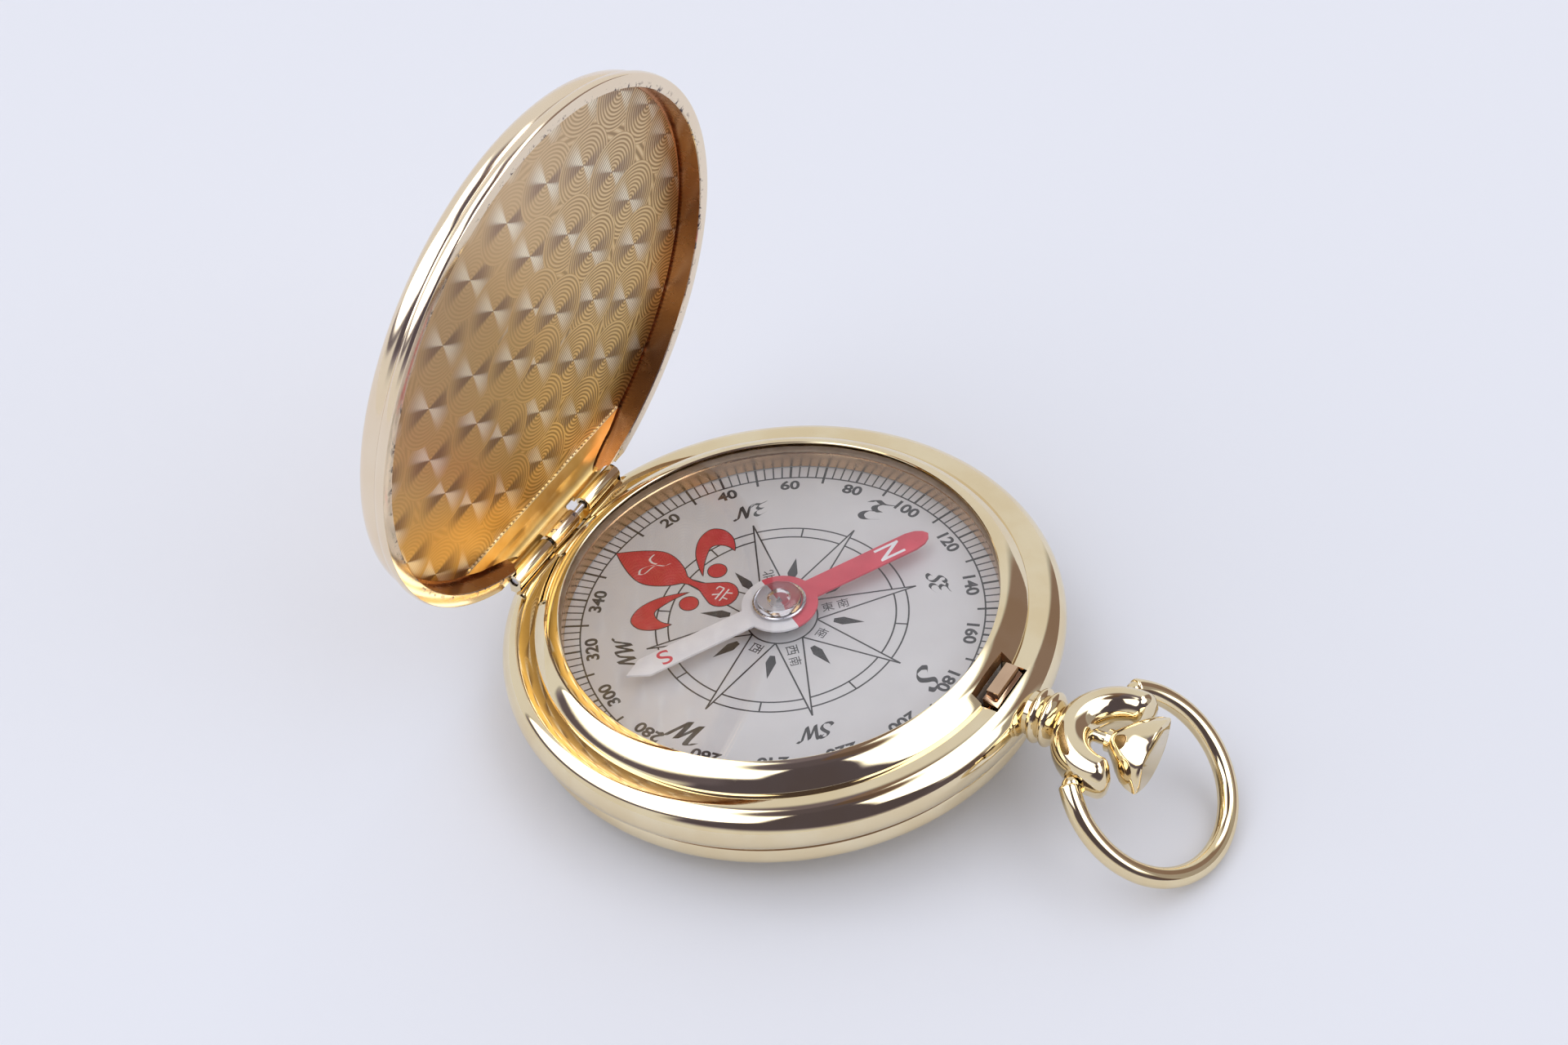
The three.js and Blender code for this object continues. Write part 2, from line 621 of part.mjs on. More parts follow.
// Crown: a flared neck behind a thick two-pointed head
function crown() {
  const curve = (CROWN_HALF_LENGTH ** 2 + CROWN_HALF_WIDTH ** 2) / (2 * CROWN_HALF_WIDTH);
  const half = Math.asin(CROWN_HALF_LENGTH / curve);
  const offset = curve - CROWN_HALF_WIDTH;
  const quarter = Math.PI / 2;
  const side = (centre, start) => Array.from({ length: CROWN_STEPS }, (_, i) => {
    const angle = start + 2 * half * i / CROWN_STEPS;
    return new THREE.Vector2(curve * Math.cos(angle), centre + curve * Math.sin(angle));
  });
  const eye = new THREE.Shape([...side(-offset, quarter - half), ...side(offset, -quarter - half)]);
  const head = new THREE.ExtrudeGeometry(eye, {
    depth: CROWN_DEPTH - 2 * CROWN_BEVEL,
    bevelThickness: CROWN_BEVEL, bevelSize: CROWN_BEVEL, bevelOffset: -CROWN_BEVEL, bevelSegments: 2,
  });
  head.rotateZ(THREE.MathUtils.degToRad(CROWN_TURN)).translate(0, 0, crownHeadX + CROWN_BEVEL);
  const flare = crownHeadX + CROWN_BEVEL;
  const neck = turned([
    [0, crownStartX], [CROWN_NECK_RADIUS, crownStartX],
    [CROWN_NECK_RADIUS, crownStartX + CROWN_NECK_LENGTH / 3],
    [CROWN_FLARE_RADIUS, flare], [0, flare],
  ]);
  const up = (geometry) => alongX(geometry).translate(0, 0, pendantHeight);
  return solid(up(head)).add(solid(up(neck)));
}

function crownStem() {
  const rod = disc(STEM_RADIUS, leafRadius + FIT, crownStartX - FIT);
  return solid(alongX(rod).translate(0, 0, pendantHeight));
}

// Pieces that stay with the case
const watchCase = new THREE.Group();
const postBottom = cupFloorTop + FIT;
const fixedPieces = [
  ['case_band', caseBand(), GOLD],
  ['back_cover', backCover(), GOLD],
  ['bezel', bezel(), GOLD],
  ['crystal', crystal(), CLEAR],
  ['crystal_gasket', solid(ring(crystalRadius - GASKET_WIDTH, crystalRadius,
    gasketBottom, gasketTop, CASE_STEPS)), RUBBER],
  ['rehaut_ring', solid(ring(rehautRadius - REHAUT_WALL, rehautRadius,
    dialTop + FIT, gasketBottom - FIT, CASE_STEPS)), SATIN_GOLD],
  ['dial', solid(ring(POST_RADIUS + FIT, DIAL_RADIUS,
    dialTop - DIAL_THICKNESS, dialTop, CASE_STEPS)), CARD],
  ['compass_cup', compassCup(), PLASTIC],
  ['cup_spacer', cupSpacer(), PLASTIC],
  ['pivot_post', solid(disc(POST_RADIUS, postBottom, postBottom + POST_HEIGHT)), BRASS],
  ['pivot_point', pivotPoint(), STEEL],
  ['case_knuckle_near', knuckle(-KNUCKLE_END, NEAR_KNUCKLE_END), GOLD],
  ['case_knuckle_far', knuckle(FAR_KNUCKLE_START, KNUCKLE_END), GOLD],
  ['hinge_pin', solid(alongY(disc(PIN_RADIUS, FIT - KNUCKLE_END, KNUCKLE_END - FIT))
    .translate(hingeX, 0, hingeZ)), STEEL],
  ['lift_spring', leaf(LIFT_SCREW_ANGLE - LEAF_TAIL_ANGLE, LIFT_END_ANGLE, LIFT_SCREW_ANGLE), STEEL],
  ['lift_screw', screw(LIFT_SCREW_ANGLE), STEEL],
  ['catch_screw', screw(CATCH_SCREW_ANGLE), STEEL],
  ['pendant_neck', pendantNeck(), GOLD],
  ['bow_yoke', bowYoke(), GOLD],
];

// Pieces that move: the catch, the crown and its stem, and the needle, which is turned to its heading
const movingPieces = [
  ['catch_spring', catchSpring(), STEEL],
  ['crown', crown(), GOLD],
  ['crown_stem', crownStem(), STEEL],
];
const needlePieces = [
  ['needle_blade', needleBlade(), PAINT],
  ['needle_magnet', solid(ring(MAGNET_RADIUS - MAGNET_WIDTH, MAGNET_RADIUS,
    magnetBottom, magnetBottom + MAGNET_HEIGHT)), MAGNET],
  ['needle_cap', needleCap(), CLEAR],
  ['needle_cap_ring', solid(ring(CAP_RADIUS + FIT, CAP_RADIUS + FIT + CAP_RING_WIDTH,
    capBottom, capBottom + CAP_RING_HEIGHT)), STEEL],
];

// The lid is drawn closed, and turned open about the hinge
const lidPieces = [
  ['lid_shell', lidShell(), GOLD],
  ['lid_liner', lidLiner(), SATIN_GOLD],
  ['lid_hinge_bar', lidHingeBar(), SATIN_GOLD],
  ['lid_knuckle', knuckle(LID_KNUCKLE_START, LID_KNUCKLE_END), GOLD],
];

for (const entry of [...fixedPieces, ...movingPieces]) watchCase.add(piece(...entry));

const needle = new THREE.Group();
for (const entry of needlePieces) needle.add(piece(...entry));
needle.rotation.z = THREE.MathUtils.degToRad(NEEDLE_HEADING);
watchCase.add(needle);

const closedLid = new THREE.Group();
for (const entry of lidPieces) closedLid.add(piece(...entry));
closedLid.position.set(-hingeX, 0, -hingeZ);
const openLid = new THREE.Group();
openLid.add(closedLid);
openLid.rotation.y = -THREE.MathUtils.degToRad(LID_OPEN);
openLid.position.set(hingeX, 0, hingeZ);
watchCase.add(openLid);

const bow = piece('bow', bowRing(), GOLD);
bow.rotation.y = bowDroop;
bow.position.set(bowX, 0, pendantHeight);
watchCase.add(bow);

// The case leans on its dome, with the middle of the resting flat at the origin
watchCase.rotation.y = -tilt;
watchCase.position.set(backSphere * Math.sin(tilt), 0, restLift);
const pocketWatchCompass = new THREE.Group();
pocketWatchCompass.add(watchCase);

export default pocketWatchCompass;
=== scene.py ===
"""Looks of the pocket watch compass: polished case, printed dial, needle, engine-turned lid and bow."""

import json
import math
from itertools import pairwise

import bmesh
import bpy
from mathutils import Matrix, Vector


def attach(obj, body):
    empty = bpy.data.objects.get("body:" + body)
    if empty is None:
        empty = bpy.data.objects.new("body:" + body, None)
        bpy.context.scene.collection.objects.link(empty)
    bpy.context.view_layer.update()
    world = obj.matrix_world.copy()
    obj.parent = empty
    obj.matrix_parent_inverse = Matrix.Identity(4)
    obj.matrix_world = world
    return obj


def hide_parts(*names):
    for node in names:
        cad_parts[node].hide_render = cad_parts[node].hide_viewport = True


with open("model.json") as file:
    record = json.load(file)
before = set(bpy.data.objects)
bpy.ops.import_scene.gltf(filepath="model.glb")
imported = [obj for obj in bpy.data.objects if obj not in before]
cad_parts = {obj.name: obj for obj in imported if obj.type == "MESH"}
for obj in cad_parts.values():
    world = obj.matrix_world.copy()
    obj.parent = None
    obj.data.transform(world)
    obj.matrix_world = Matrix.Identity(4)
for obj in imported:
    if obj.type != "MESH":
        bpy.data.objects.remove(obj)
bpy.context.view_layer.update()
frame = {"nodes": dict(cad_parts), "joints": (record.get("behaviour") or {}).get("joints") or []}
scene = bpy.context.scene
scene.view_settings.view_transform = "Standard"


# Drawing frames, in millimetres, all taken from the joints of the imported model

def turned_by(angle, axis):
    return Matrix.Rotation(math.radians(angle), 4, axis)


def shifted_to(x, y, z):
    return Matrix.Translation((x, y, z))


HINGE = Vector((-20.75, 0, 8.35))
LID_OPEN = 81.4
AXLE_HEIGHT = 6.2
BOW_AXIS = Vector((28.43, 0, AXLE_HEIGHT))
BOW_DROP = 41.24
NEEDLE_HEADING = 60.3
NORTH_HEADING = 178.71
MILLIMETRE = 0.001
joints = {joint["name"]: joint for joint in frame["joints"]}
up = Vector(joints["needle_spin"]["axis"])
out = -Vector(joints["crown_push"]["axis"])
turn = Matrix((out, up.cross(out), up)).transposed().to_4x4()
hinge_place = Matrix.Translation(joints["lid_hinge"]["pos_m"])
CASE = hinge_place @ turn @ Matrix.Scale(MILLIMETRE, 4) @ Matrix.Translation(-HINGE)
LID = CASE @ Matrix.Translation(HINGE) @ turned_by(-LID_OPEN, "Y") @ Matrix.Translation(-HINGE)
NEEDLE = CASE @ turned_by(NEEDLE_HEADING, "Z")
DIAL = CASE @ turned_by(NORTH_HEADING, "Z")
BOW = CASE @ Matrix.Translation(BOW_AXIS) @ turned_by(BOW_DROP, "Y")
STEM = CASE @ shifted_to(0, 0, AXLE_HEIGHT) @ turned_by(90, "Y")


# Shader sums

class Value:
    """A node's output, which can be used in sums."""

    def __init__(self, paint, socket):
        self.paint = paint
        self.socket = socket

    def __add__(self, other):
        return self.paint.maths("ADD", self, other)

    __radd__ = __add__

    def __mul__(self, other):
        return self.paint.maths("MULTIPLY", self, other)

    __rmul__ = __mul__

    def __sub__(self, other):
        return self.paint.maths("SUBTRACT", self, other)

    def __rsub__(self, other):
        return self.paint.maths("SUBTRACT", other, self)

    def __lt__(self, other):
        return self.paint.maths("LESS_THAN", self, other)


class Paint:
    """A node tree that is built one node at a time."""

    def __init__(self, tree):
        self.tree = tree
        tree.nodes.clear()

    def node(self, kind, sockets=None, output=0, **settings):
        made = self.tree.nodes.new("ShaderNode" + kind)
        for key, setting in settings.items():
            setattr(made, key, setting)
        for key, value in (sockets or {}).items():
            socket = made.inputs[key]
            if isinstance(value, Value):
                self.tree.links.new(value.socket, socket)
            else:
                socket.default_value = value
        return Value(self, made.outputs[output])

    def maths(self, operation, *values):
        return self.node("Math", dict(enumerate(values)), operation=operation)

    def length(self, x, y):
        return self.maths("SQRT", x * x + y * y)

    def within(self, place):
        """Object coordinates, as the millimetres of a drawing frame."""
        back = place.inverted()
        sockets = {
            "Vector": self.node("TexCoord", output="Object"),
            "Location": back.translation,
            "Rotation": back.to_quaternion().to_euler(),
            "Scale": back.to_scale(),
        }
        return self.node("Mapping", sockets)

    def parts(self, spot):
        return [self.node("SeparateXYZ", {0: spot}, index) for index in range(3)]

    def noise(self, spot, scale, detail, rough=0.5):
        sockets = {"Vector": spot, "Scale": scale, "Detail": detail, "Roughness": rough}
        return self.node("TexNoise", sockets)

    def stretched(self, spot, amounts):
        return self.node("VectorMath", {0: spot, 1: amounts}, operation="MULTIPLY")

    def mix(self, factor, first, second):
        return self.node("Mix", {0: factor, 6: first, 7: second}, 2, data_type="RGBA")

    def ramped(self, value, low, high, start=0.0, end=1.0):
        sockets = {0: value, 1: low, 2: high, 3: start, 4: end}
        return self.node("MapRange", sockets, interpolation_type="SMOOTHSTEP")

    def either(self, factor, off, on):
        return off + (on - off) * factor

    def bump(self, height, strength, distance):
        return self.node("Bump", {"Height": height, "Strength": strength, "Distance": distance})

    def output(self, kind, shader):
        made = self.tree.nodes.new("ShaderNodeOutput" + kind)
        self.tree.links.new(shader.socket, made.inputs["Surface"])

    def surface(self, **sockets):
        named = {key.replace("_", " "): value for key, value in sockets.items()}
        self.output("Material", self.node("BsdfPrincipled", named))


def finish(name):
    material = bpy.data.materials.new(name)
    material.use_nodes = True
    return material, Paint(material.node_tree)


def rgb(red, green, blue):
    return (red, green, blue, 1.0)


# Finishes, with the depths of their marks in metres

HAIRLINE = 0.000006
TOOTH = 0.000008
TOOL_MARK = 0.00001
FLOW_MARK = 0.00002


def polished_metal(name, place, light, deep, smooth=0.04, rough=0.09):
    """Polished metal with a faint cloud in its colour, hairlines and a few rubbed patches."""
    material, paint = finish(name)
    spot = paint.within(place)
    cloud = paint.noise(spot, 0.22, 3.0)
    hairs = paint.noise(paint.stretched(spot, (0.6, 9.0, 0.6)), 1.4, 4.0, 0.6)
    rubbed = paint.ramped(paint.noise(spot, 1.1, 5.0, 0.65), 0.55, 0.72)
    paint.surface(
        Base_Color=paint.mix(paint.ramped(cloud, 0.35, 0.65), deep, light),
        Metallic=1.0,
        Roughness=paint.either(rubbed, smooth, rough),
        Normal=paint.bump(hairs, 0.05, HAIRLINE),
    )
    return material


def satin_gold():
    """Gold left with its lapping marks, for the strip by the lid's hinge."""
    material, paint = finish("bar_gold")
    spot = paint.within(LID)
    marks = paint.noise(paint.stretched(spot, (2.0, 14.0, 2.0)), 1.6, 4.0, 0.6)
    cloud = paint.ramped(paint.noise(spot, 0.5, 3.0), 0.3, 0.7)
    paint.surface(
        Base_Color=paint.mix(cloud, rgb(0.80, 0.53, 0.18), rgb(0.90, 0.66, 0.28)),
        Metallic=1.0,
        Roughness=0.28 + 0.12 * marks,
        Normal=paint.bump(marks, 0.12, TOOL_MARK),
    )
    return material


SPOT_RADIUS = 3.35
SPOT_PITCH = 0.33
SPOT_RINGS = ((20.0, 23), (14.0, 17), (8.4, 10), (3.0, 4))
# Bearings of the painted shade fans and of the painted highlight fans on each disc
SHADE_FAN_BEARING = 114
HIGHLIGHT_FAN_BEARING = 146


def engine_turned_gold():
    """Overlapping discs of fine rings, laid in circles about the middle of the lid, each over the last.

    Each disc carries a pair of painted highlight fans and a pair of painted shade fans about its middle,
    at fixed bearings, in place of the light its rings throw along one bearing and lose along another.
    Its rings are painted dark along the grooves and pale on the crests as painted shade and highlight,
    and the colours shift from the bottom to the top of the open lid as painted reflected light.
    """
    material, paint = finish("engine_turned_gold")
    spot = paint.within(LID)
    x, y, _ = paint.parts(spot)
    span = paint.length(x, y)
    bearing = paint.maths("ARCTAN2", y, x) + math.pi
    reach = span * 0.5
    facing = bearing
    for ring, count in SPOT_RINGS:
        step = math.tau / count
        past = paint.maths("MODULO", bearing, step)
        for gap in (past, past - step):
            outward = span * paint.maths("COSINE", gap) - ring
            across = span * paint.maths("SINE", gap)
            away = paint.length(outward, across)
            swing = bearing - gap + paint.maths("ARCTAN2", across, outward)
            inside = away < SPOT_RADIUS
            reach = paint.either(inside, reach, away)
            facing = paint.either(inside, facing, swing)

    def fans(direction, start, full):
        doubled = (facing - math.radians(direction)) * 2
        return paint.ramped(paint.maths("COSINE", doubled), start, full)

    waves = paint.maths("SINE", reach * (math.tau / SPOT_PITCH))
    # How clearly the painted ring shade and highlight show, stronger towards one side
    crisp = paint.ramped(y - x * 0.3, -8.0, 10.0, 0.2, 1.0)
    grain = paint.noise(spot, 2.2, 3.0)
    # The colours shift from the bottom to the top of the open lid: painted reflected light
    height = paint.ramped(x, -17.0, 21.0)
    plain = paint.mix(height, rgb(0.72, 0.46, 0.13), rgb(0.70, 0.50, 0.29))
    fan_shade_colour = paint.mix(height, rgb(0.27, 0.155, 0.06), rgb(0.40, 0.27, 0.19))
    close = paint.ramped(reach, 3.7, 1.0)
    # Painted shade fans and painted highlight fans about the middle of each disc
    colour = paint.mix(fans(SHADE_FAN_BEARING, 0.1, 0.9) * close, plain, fan_shade_colour)
    colour = paint.mix(fans(HIGHLIGHT_FAN_BEARING, 0.6, 0.98) * close, colour, rgb(0.97, 0.87, 0.68))
    # Painted shade along the ring grooves and painted highlight on their crests
    lines = paint.ramped(waves, -0.4, 0.9) * crisp
    colour = paint.mix(lines * 0.7, colour, rgb(0.22, 0.13, 0.045))
    colour = paint.mix(paint.ramped(waves, -0.5, -0.95) * crisp * 0.3, colour, rgb(0.95, 0.82, 0.52))
    paint.surface(
        Base_Color=colour,
        Metallic=1.0,
        Roughness=0.3 + 0.1 * grain,
        Normal=paint.bump(waves * crisp, 0.8, TOOL_MARK),
    )
    return material


def lid_gold():
    """The lid's gold, with small dark spots where the plating has worn along the inner edge of its rim."""
    material, paint = finish("lid_gold")
    spot = paint.within(LID)
    x, y, z = paint.parts(spot)
    near_edge = paint.ramped(paint.length(x, y), 21.5, 20.95) * paint.ramped(z, 8.75, 8.5)
    flecks = paint.ramped(paint.noise(spot, 1.5, 5.0, 0.7), 0.55, 0.6)
    worn = near_edge * flecks
    cloud = paint.noise(spot, 0.22, 3.0)
    gold = paint.mix(paint.ramped(cloud, 0.35, 0.65), rgb(0.865, 0.715, 0.525), rgb(0.88, 0.74, 0.555))
    paint.surface(
        Base_Color=paint.mix(worn, gold, rgb(0.07, 0.05, 0.06)),
        Metallic=1.0 - 0.7 * worn,
        Roughness=0.09 + 0.06 * cloud + 0.4 * worn,
        Normal=paint.bump(paint.noise(spot, 3.0, 4.0), 0.04, HAIRLINE),
    )
    return material


def spring_steel():
    """Ground steel with grinding marks along it."""
    material, paint = finish("spring_steel")
    marks = paint.noise(paint.stretched(paint.within(CASE), (9.0, 1.0, 9.0)), 1.8, 4.0, 0.6)
    paint.surface(
        Base_Color=paint.mix(paint.ramped(marks, 0.3, 0.7), rgb(0.42, 0.42, 0.46), rgb(0.62, 0.62, 0.67)),
        Metallic=1.0,
        Roughness=0.2 + 0.14 * marks,
        Normal=paint.bump(marks, 0.15, TOOL_MARK),
    )
    return material


GLASS_INDEX = 1.5
PLASTIC_INDEX = 1.49


def clear_glass():
    """A clear sheet: the mirror part of the glass alone, and open to light for the rest."""
    material, paint = finish("crystal_glass")
    dust = paint.ramped(paint.noise(paint.within(CASE), 1.8, 5.0, 0.7), 0.58, 0.8)
    slant = paint.node("LayerWeight", {"Blend": 0.5}, "Facing")
    straight = ((GLASS_INDEX - 1) / (GLASS_INDEX + 1)) ** 2
    shine = straight + (1 - straight) * paint.maths("POWER", slant, 5.0)
    paint.surface(
        Base_Color=rgb(0.98, 0.99, 1.0),
        Metallic=1.0,
        Roughness=0.02 + 0.05 * dust,
        Alpha=shine + 0.01 * dust,
    )
    return material


def clear_plastic():
    """The cap over the bearing: moulded clear, with a little flow in it."""
    material, paint = finish("clear_plastic")
    flow = paint.noise(paint.within(NEEDLE), 1.2, 3.0)
    paint.surface(
        Base_Color=paint.mix(flow, rgb(0.93, 0.90, 0.88), rgb(0.99, 0.97, 0.95)),
        Roughness=0.02 + 0.04 * flow,
        IOR=PLASTIC_INDEX,
        Transmission_Weight=1.0,
        Normal=paint.bump(flow, 0.08, FLOW_MARK),
    )
    return material


def matte(name, place, light, deep, scale, rough):
    """Paint, ink, card, rubber or moulded plastic: a soft mottle with a fine tooth."""
    material, paint = finish(name)
    spot = paint.within(place)
    cloud = paint.noise(spot, scale, 4.0)
    tooth = paint.noise(spot, scale * 14, 3.0)
    paint.surface(
        Base_Color=paint.mix(paint.ramped(cloud, 0.3, 0.7), deep, light),
        Roughness=rough + 0.12 * tooth,
        Normal=paint.bump(tooth, 0.1, TOOTH),
    )
    return material


CASE_GOLD = polished_metal("case_gold", CASE, rgb(0.85, 0.73, 0.50), rgb(0.81, 0.67, 0.43))
BOW_GOLD = polished_metal("bow_gold", BOW, rgb(0.85, 0.72, 0.47), rgb(0.81, 0.66, 0.40))
# A darker, browner copy of the case gold for the wall round the dial: painted shade of that recess
WALL_SHADE_GOLD = polished_metal("wall_gold", CASE, rgb(0.72, 0.48, 0.28), rgb(0.60, 0.38, 0.21), 0.25, 0.4)
# A dark brown copy of the case gold: painted shade for the walls of the catch notch and under the bezel's lip
NOTCH_SHADE_GOLD = polished_metal("notch_shade_gold", CASE, rgb(0.66, 0.40, 0.20), rgb(0.54, 0.31, 0.15), 0.5, 0.62)
SEAM_GOLD = polished_metal("seam_gold", CASE, rgb(0.36, 0.21, 0.11), rgb(0.28, 0.16, 0.08), 0.35, 0.5)
LID_GOLD = lid_gold()
LINER_GOLD = engine_turned_gold()
BAR_GOLD = satin_gold()
# Near-white gold for the thin toothed edge at the strip: a painted highlight
EDGE_HIGHLIGHT_GOLD = polished_metal("edge_highlight_gold", LID, rgb(0.98, 0.93, 0.80), rgb(0.95, 0.88, 0.72), 0.35, 0.5)
# A darker, redder copy of the lid gold: painted shade for the inner wall of the lid's rim
LID_WALL_SHADE = polished_metal("lid_wall_shade_gold", LID, rgb(0.62, 0.34, 0.18), rgb(0.50, 0.26, 0.13), 0.26, 0.38)
# Steel coloured tan: a painted reflection of the gold round the catch
CATCH_STEEL_GOLD_REFLECTION = polished_metal("catch_steel_gold_reflection", CASE, rgb(0.66, 0.46, 0.31), rgb(0.52, 0.35, 0.23), 0.14, 0.24)
STEEL = spring_steel()
BRASS = polished_metal("turned_brass", CASE, rgb(0.80, 0.62, 0.32), rgb(0.72, 0.54, 0.26), 0.15, 0.25)
GLASS = clear_glass()
CLEAR = clear_plastic()
CARD = matte("dial_card", CASE, rgb(0.70, 0.69, 0.71), rgb(0.66, 0.65, 0.67), 0.25, 0.55)
INK = matte("black_ink", CASE, rgb(0.045, 0.043, 0.05), rgb(0.025, 0.024, 0.028), 0.9, 0.45)
RED_INK = matte("red_ink", CASE, rgb(0.62, 0.035, 0.05), rgb(0.55, 0.025, 0.035), 0.9, 0.45)
WHITE_INK = matte("white_ink", CASE, rgb(0.82, 0.80, 0.79), rgb(0.74, 0.72, 0.71), 0.9, 0.5)
NEEDLE_RED = matte("needle_red", NEEDLE, rgb(0.70, 0.06, 0.10), rgb(0.60, 0.04, 0.075), 0.6, 0.35)
NEEDLE_WHITE = matte("needle_white", NEEDLE, rgb(0.86, 0.85, 0.88), rgb(0.79, 0.78, 0.82), 0.6, 0.35)
FERRITE = matte("ferrite", NEEDLE, rgb(0.16, 0.15, 0.15), rgb(0.10, 0.10, 0.10), 1.2, 0.4)
RUBBER = matte("gasket_rubber", CASE, rgb(0.46, 0.34, 0.24), rgb(0.38, 0.27, 0.18), 1.0, 0.5)
CUP = matte("cup_plastic", CASE, rgb(0.55, 0.54, 0.52), rgb(0.47, 0.46, 0.44), 0.7, 0.5)


# Modelling

WELD = 0.0005
SHARP_ANGLE = 32


def at(angle, radius):
    return (radius * math.cos(angle), radius * math.sin(angle))


def quarter(start, end, steps=10):
    """A quarter oval that leaves start upright and reaches end level."""
    points = []
    for step in range(steps + 1):
        angle = math.pi / 2 * step / steps
        radius = end[0] + (start[0] - end[0]) * math.cos(angle)
        points.append((radius, start[1] + (end[1] - start[1]) * math.sin(angle)))
    return points


def arced(start, first, last, radius, steps):
    """Points of an arc from a start, where its outward slope turns from one angle to the other."""
    spots = [at(math.radians(first + (last - first) * step / steps), radius) for step in range(steps + 1)]
    return [(start[0] - spots[0][0] + x, start[1] - spots[0][1] + z) for x, z in spots]


def vaulted(edge, top, drop, steps):
    """Points of a shallow vault, from its crown out to its edge."""
    return [(edge * step / steps, top - drop * (step / steps) ** 2) for step in range(steps + 1)]


def chained(bm, verts):
    return [bm.edges.new(pair) for pair in pairwise(verts)]


def spun(bm, geom, angle, steps, closed=False):
    bmesh.ops.spin(bm, geom=geom, cent=(0, 0, 0), axis=(0, 0, 1), angle=angle, steps=steps, use_merge=closed)


def turned(profile, steps=240, place=None):
    """A closed profile of (radius, height) points, spun about Z."""
    bm = bmesh.new()
    verts = [bm.verts.new((radius, 0, height)) for radius, height in profile]
    spun(bm, verts + chained(bm, [*verts, verts[0]]), math.tau, steps, True)
    bmesh.ops.remove_doubles(bm, verts=bm.verts, dist=WELD)
    bmesh.ops.dissolve_degenerate(bm, dist=0.0001, edges=bm.edges)
    loose = [face for face in bm.faces if face.calc_area() < 1e-9]
    bmesh.ops.delete(bm, geom=loose, context="FACES")
    bmesh.ops.recalc_face_normals(bm, faces=bm.faces)
    if place:
        bmesh.ops.transform(bm, matrix=place, verts=bm.verts)
    return bm


def block(low, high):
    bm = bmesh.new()
    middle = (Vector(low) + Vector(high)) / 2
    size = Vector(high) - Vector(low)
    bmesh.ops.create_cube(bm, size=1, matrix=Matrix.Translation(middle) @ Matrix.Diagonal((*size, 1)))
    return bm


def rod(start, end, radius):
    bm = bmesh.new()
    along = Vector(end) - Vector(start)
    place = Matrix.Translation((Vector(start) + Vector(end)) / 2)
    place = place @ along.to_track_quat("Z", "Y").to_matrix().to_4x4()
    size = {"radius1": radius, "radius2": radius, "depth": along.length}
    bmesh.ops.create_cone(bm, cap_ends=True, segments=48, matrix=place, **size)
    return bm


def hoop(bm, radius, place):
    """The verts and the edges of a circle."""
    made = bmesh.ops.create_circle(bm, segments=32, radius=radius, matrix=place)
    return made["verts"], {edge for vert in made["verts"] for edge in vert.link_edges}


def skinned(bm, rings):
    """A closed skin over rings of edges, from the first to the last."""
    for first, second in pairwise(rings):
        bmesh.ops.bridge_loops(bm, edges=[*first, *second])
    bmesh.ops.holes_fill(bm, edges=[*rings[0], *rings[-1]])
    bmesh.ops.recalc_face_normals(bm, faces=bm.faces)


def bevelled(bm, edges, offset, steps):
    bmesh.ops.bevel(bm, geom=edges, offset=offset, segments=steps, profile=0.5, affect="EDGES", material=-1)


def whole(bm):
    return [*bm.verts, *bm.edges, *bm.faces]


def grown_verts(grown):
    return [item for item in grown["geom"] if isinstance(item, bmesh.types.BMVert)]


def drawn_out(bm, way):
    """The whole sheet drawn along a straight way into a closed body."""
    grown = bmesh.ops.extrude_face_region(bm, geom=whole(bm), use_keep_orig=True)
    bmesh.ops.translate(bm, verts=grown_verts(grown), vec=way)
    bmesh.ops.recalc_face_normals(bm, faces=bm.faces)
    return bm


def extruded(section, start, length):
    """A section of (x, z) points drawn along Y."""
    bm = bmesh.new()
    bm.faces.new([bm.verts.new((x, start, z)) for x, z in section])
    return drawn_out(bm, (0, length, 0))


def raised(bm, height, thickness):
    """Flat faces made into a thin closed layer."""
    bmesh.ops.triangulate(bm, faces=[face for face in bm.faces if len(face.verts) > 4])
    drawn_out(bm, (0, 0, thickness))
    bmesh.ops.translate(bm, verts=bm.verts, vec=(0, 0, height))
    return bm


def meshed(bm, name):
    mesh = bpy.data.meshes.new(name)
    bm.to_mesh(mesh)
    bm.free()
    return mesh


def shown(name, data):
    made = bpy.data.objects.new(name, data)
    scene.collection.objects.link(made)
    return made


def carved(bm, operation, *tools):
    """The shape with each tool taken out of it, joined to it or kept in common with it."""
    work = shown("work", meshed(bm, "work"))
    cutters = [shown("cutter", meshed(tool, "cutter")) for tool in tools]
    for cutter in cutters:
        cut = work.modifiers.new("cut", "BOOLEAN")
        cut.operation = operation
        cut.solver = "EXACT"
        cut.object = cutter
    bpy.context.view_layer.update()
    made = bpy.data.meshes.new_from_object(work.evaluated_get(bpy.context.evaluated_depsgraph_get()))
    result = bmesh.new()
    result.from_mesh(made)
    for used in (work, *cutters):
        bpy.data.objects.remove(used)
    bmesh.ops.remove_doubles(result, verts=result.verts, dist=WELD)
    return result


def piece(name, bm, place, body, finishes, replaced=()):
    """A finished piece: put in its place, smoothed up to its sharp edges, and set to ride on its body."""
    bmesh.ops.transform(bm, matrix=place, verts=bm.verts)
    mesh = meshed(bm, name)
    mesh.shade_smooth()
    mesh.set_sharp_from_angle(angle=math.radians(SHARP_ANGLE))
    for material in finishes:
        mesh.materials.append(material)
    made = shown(name, mesh)
    if replaced:
        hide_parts(*replaced)
    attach(made, body)


# Case, catch and hinge tubes

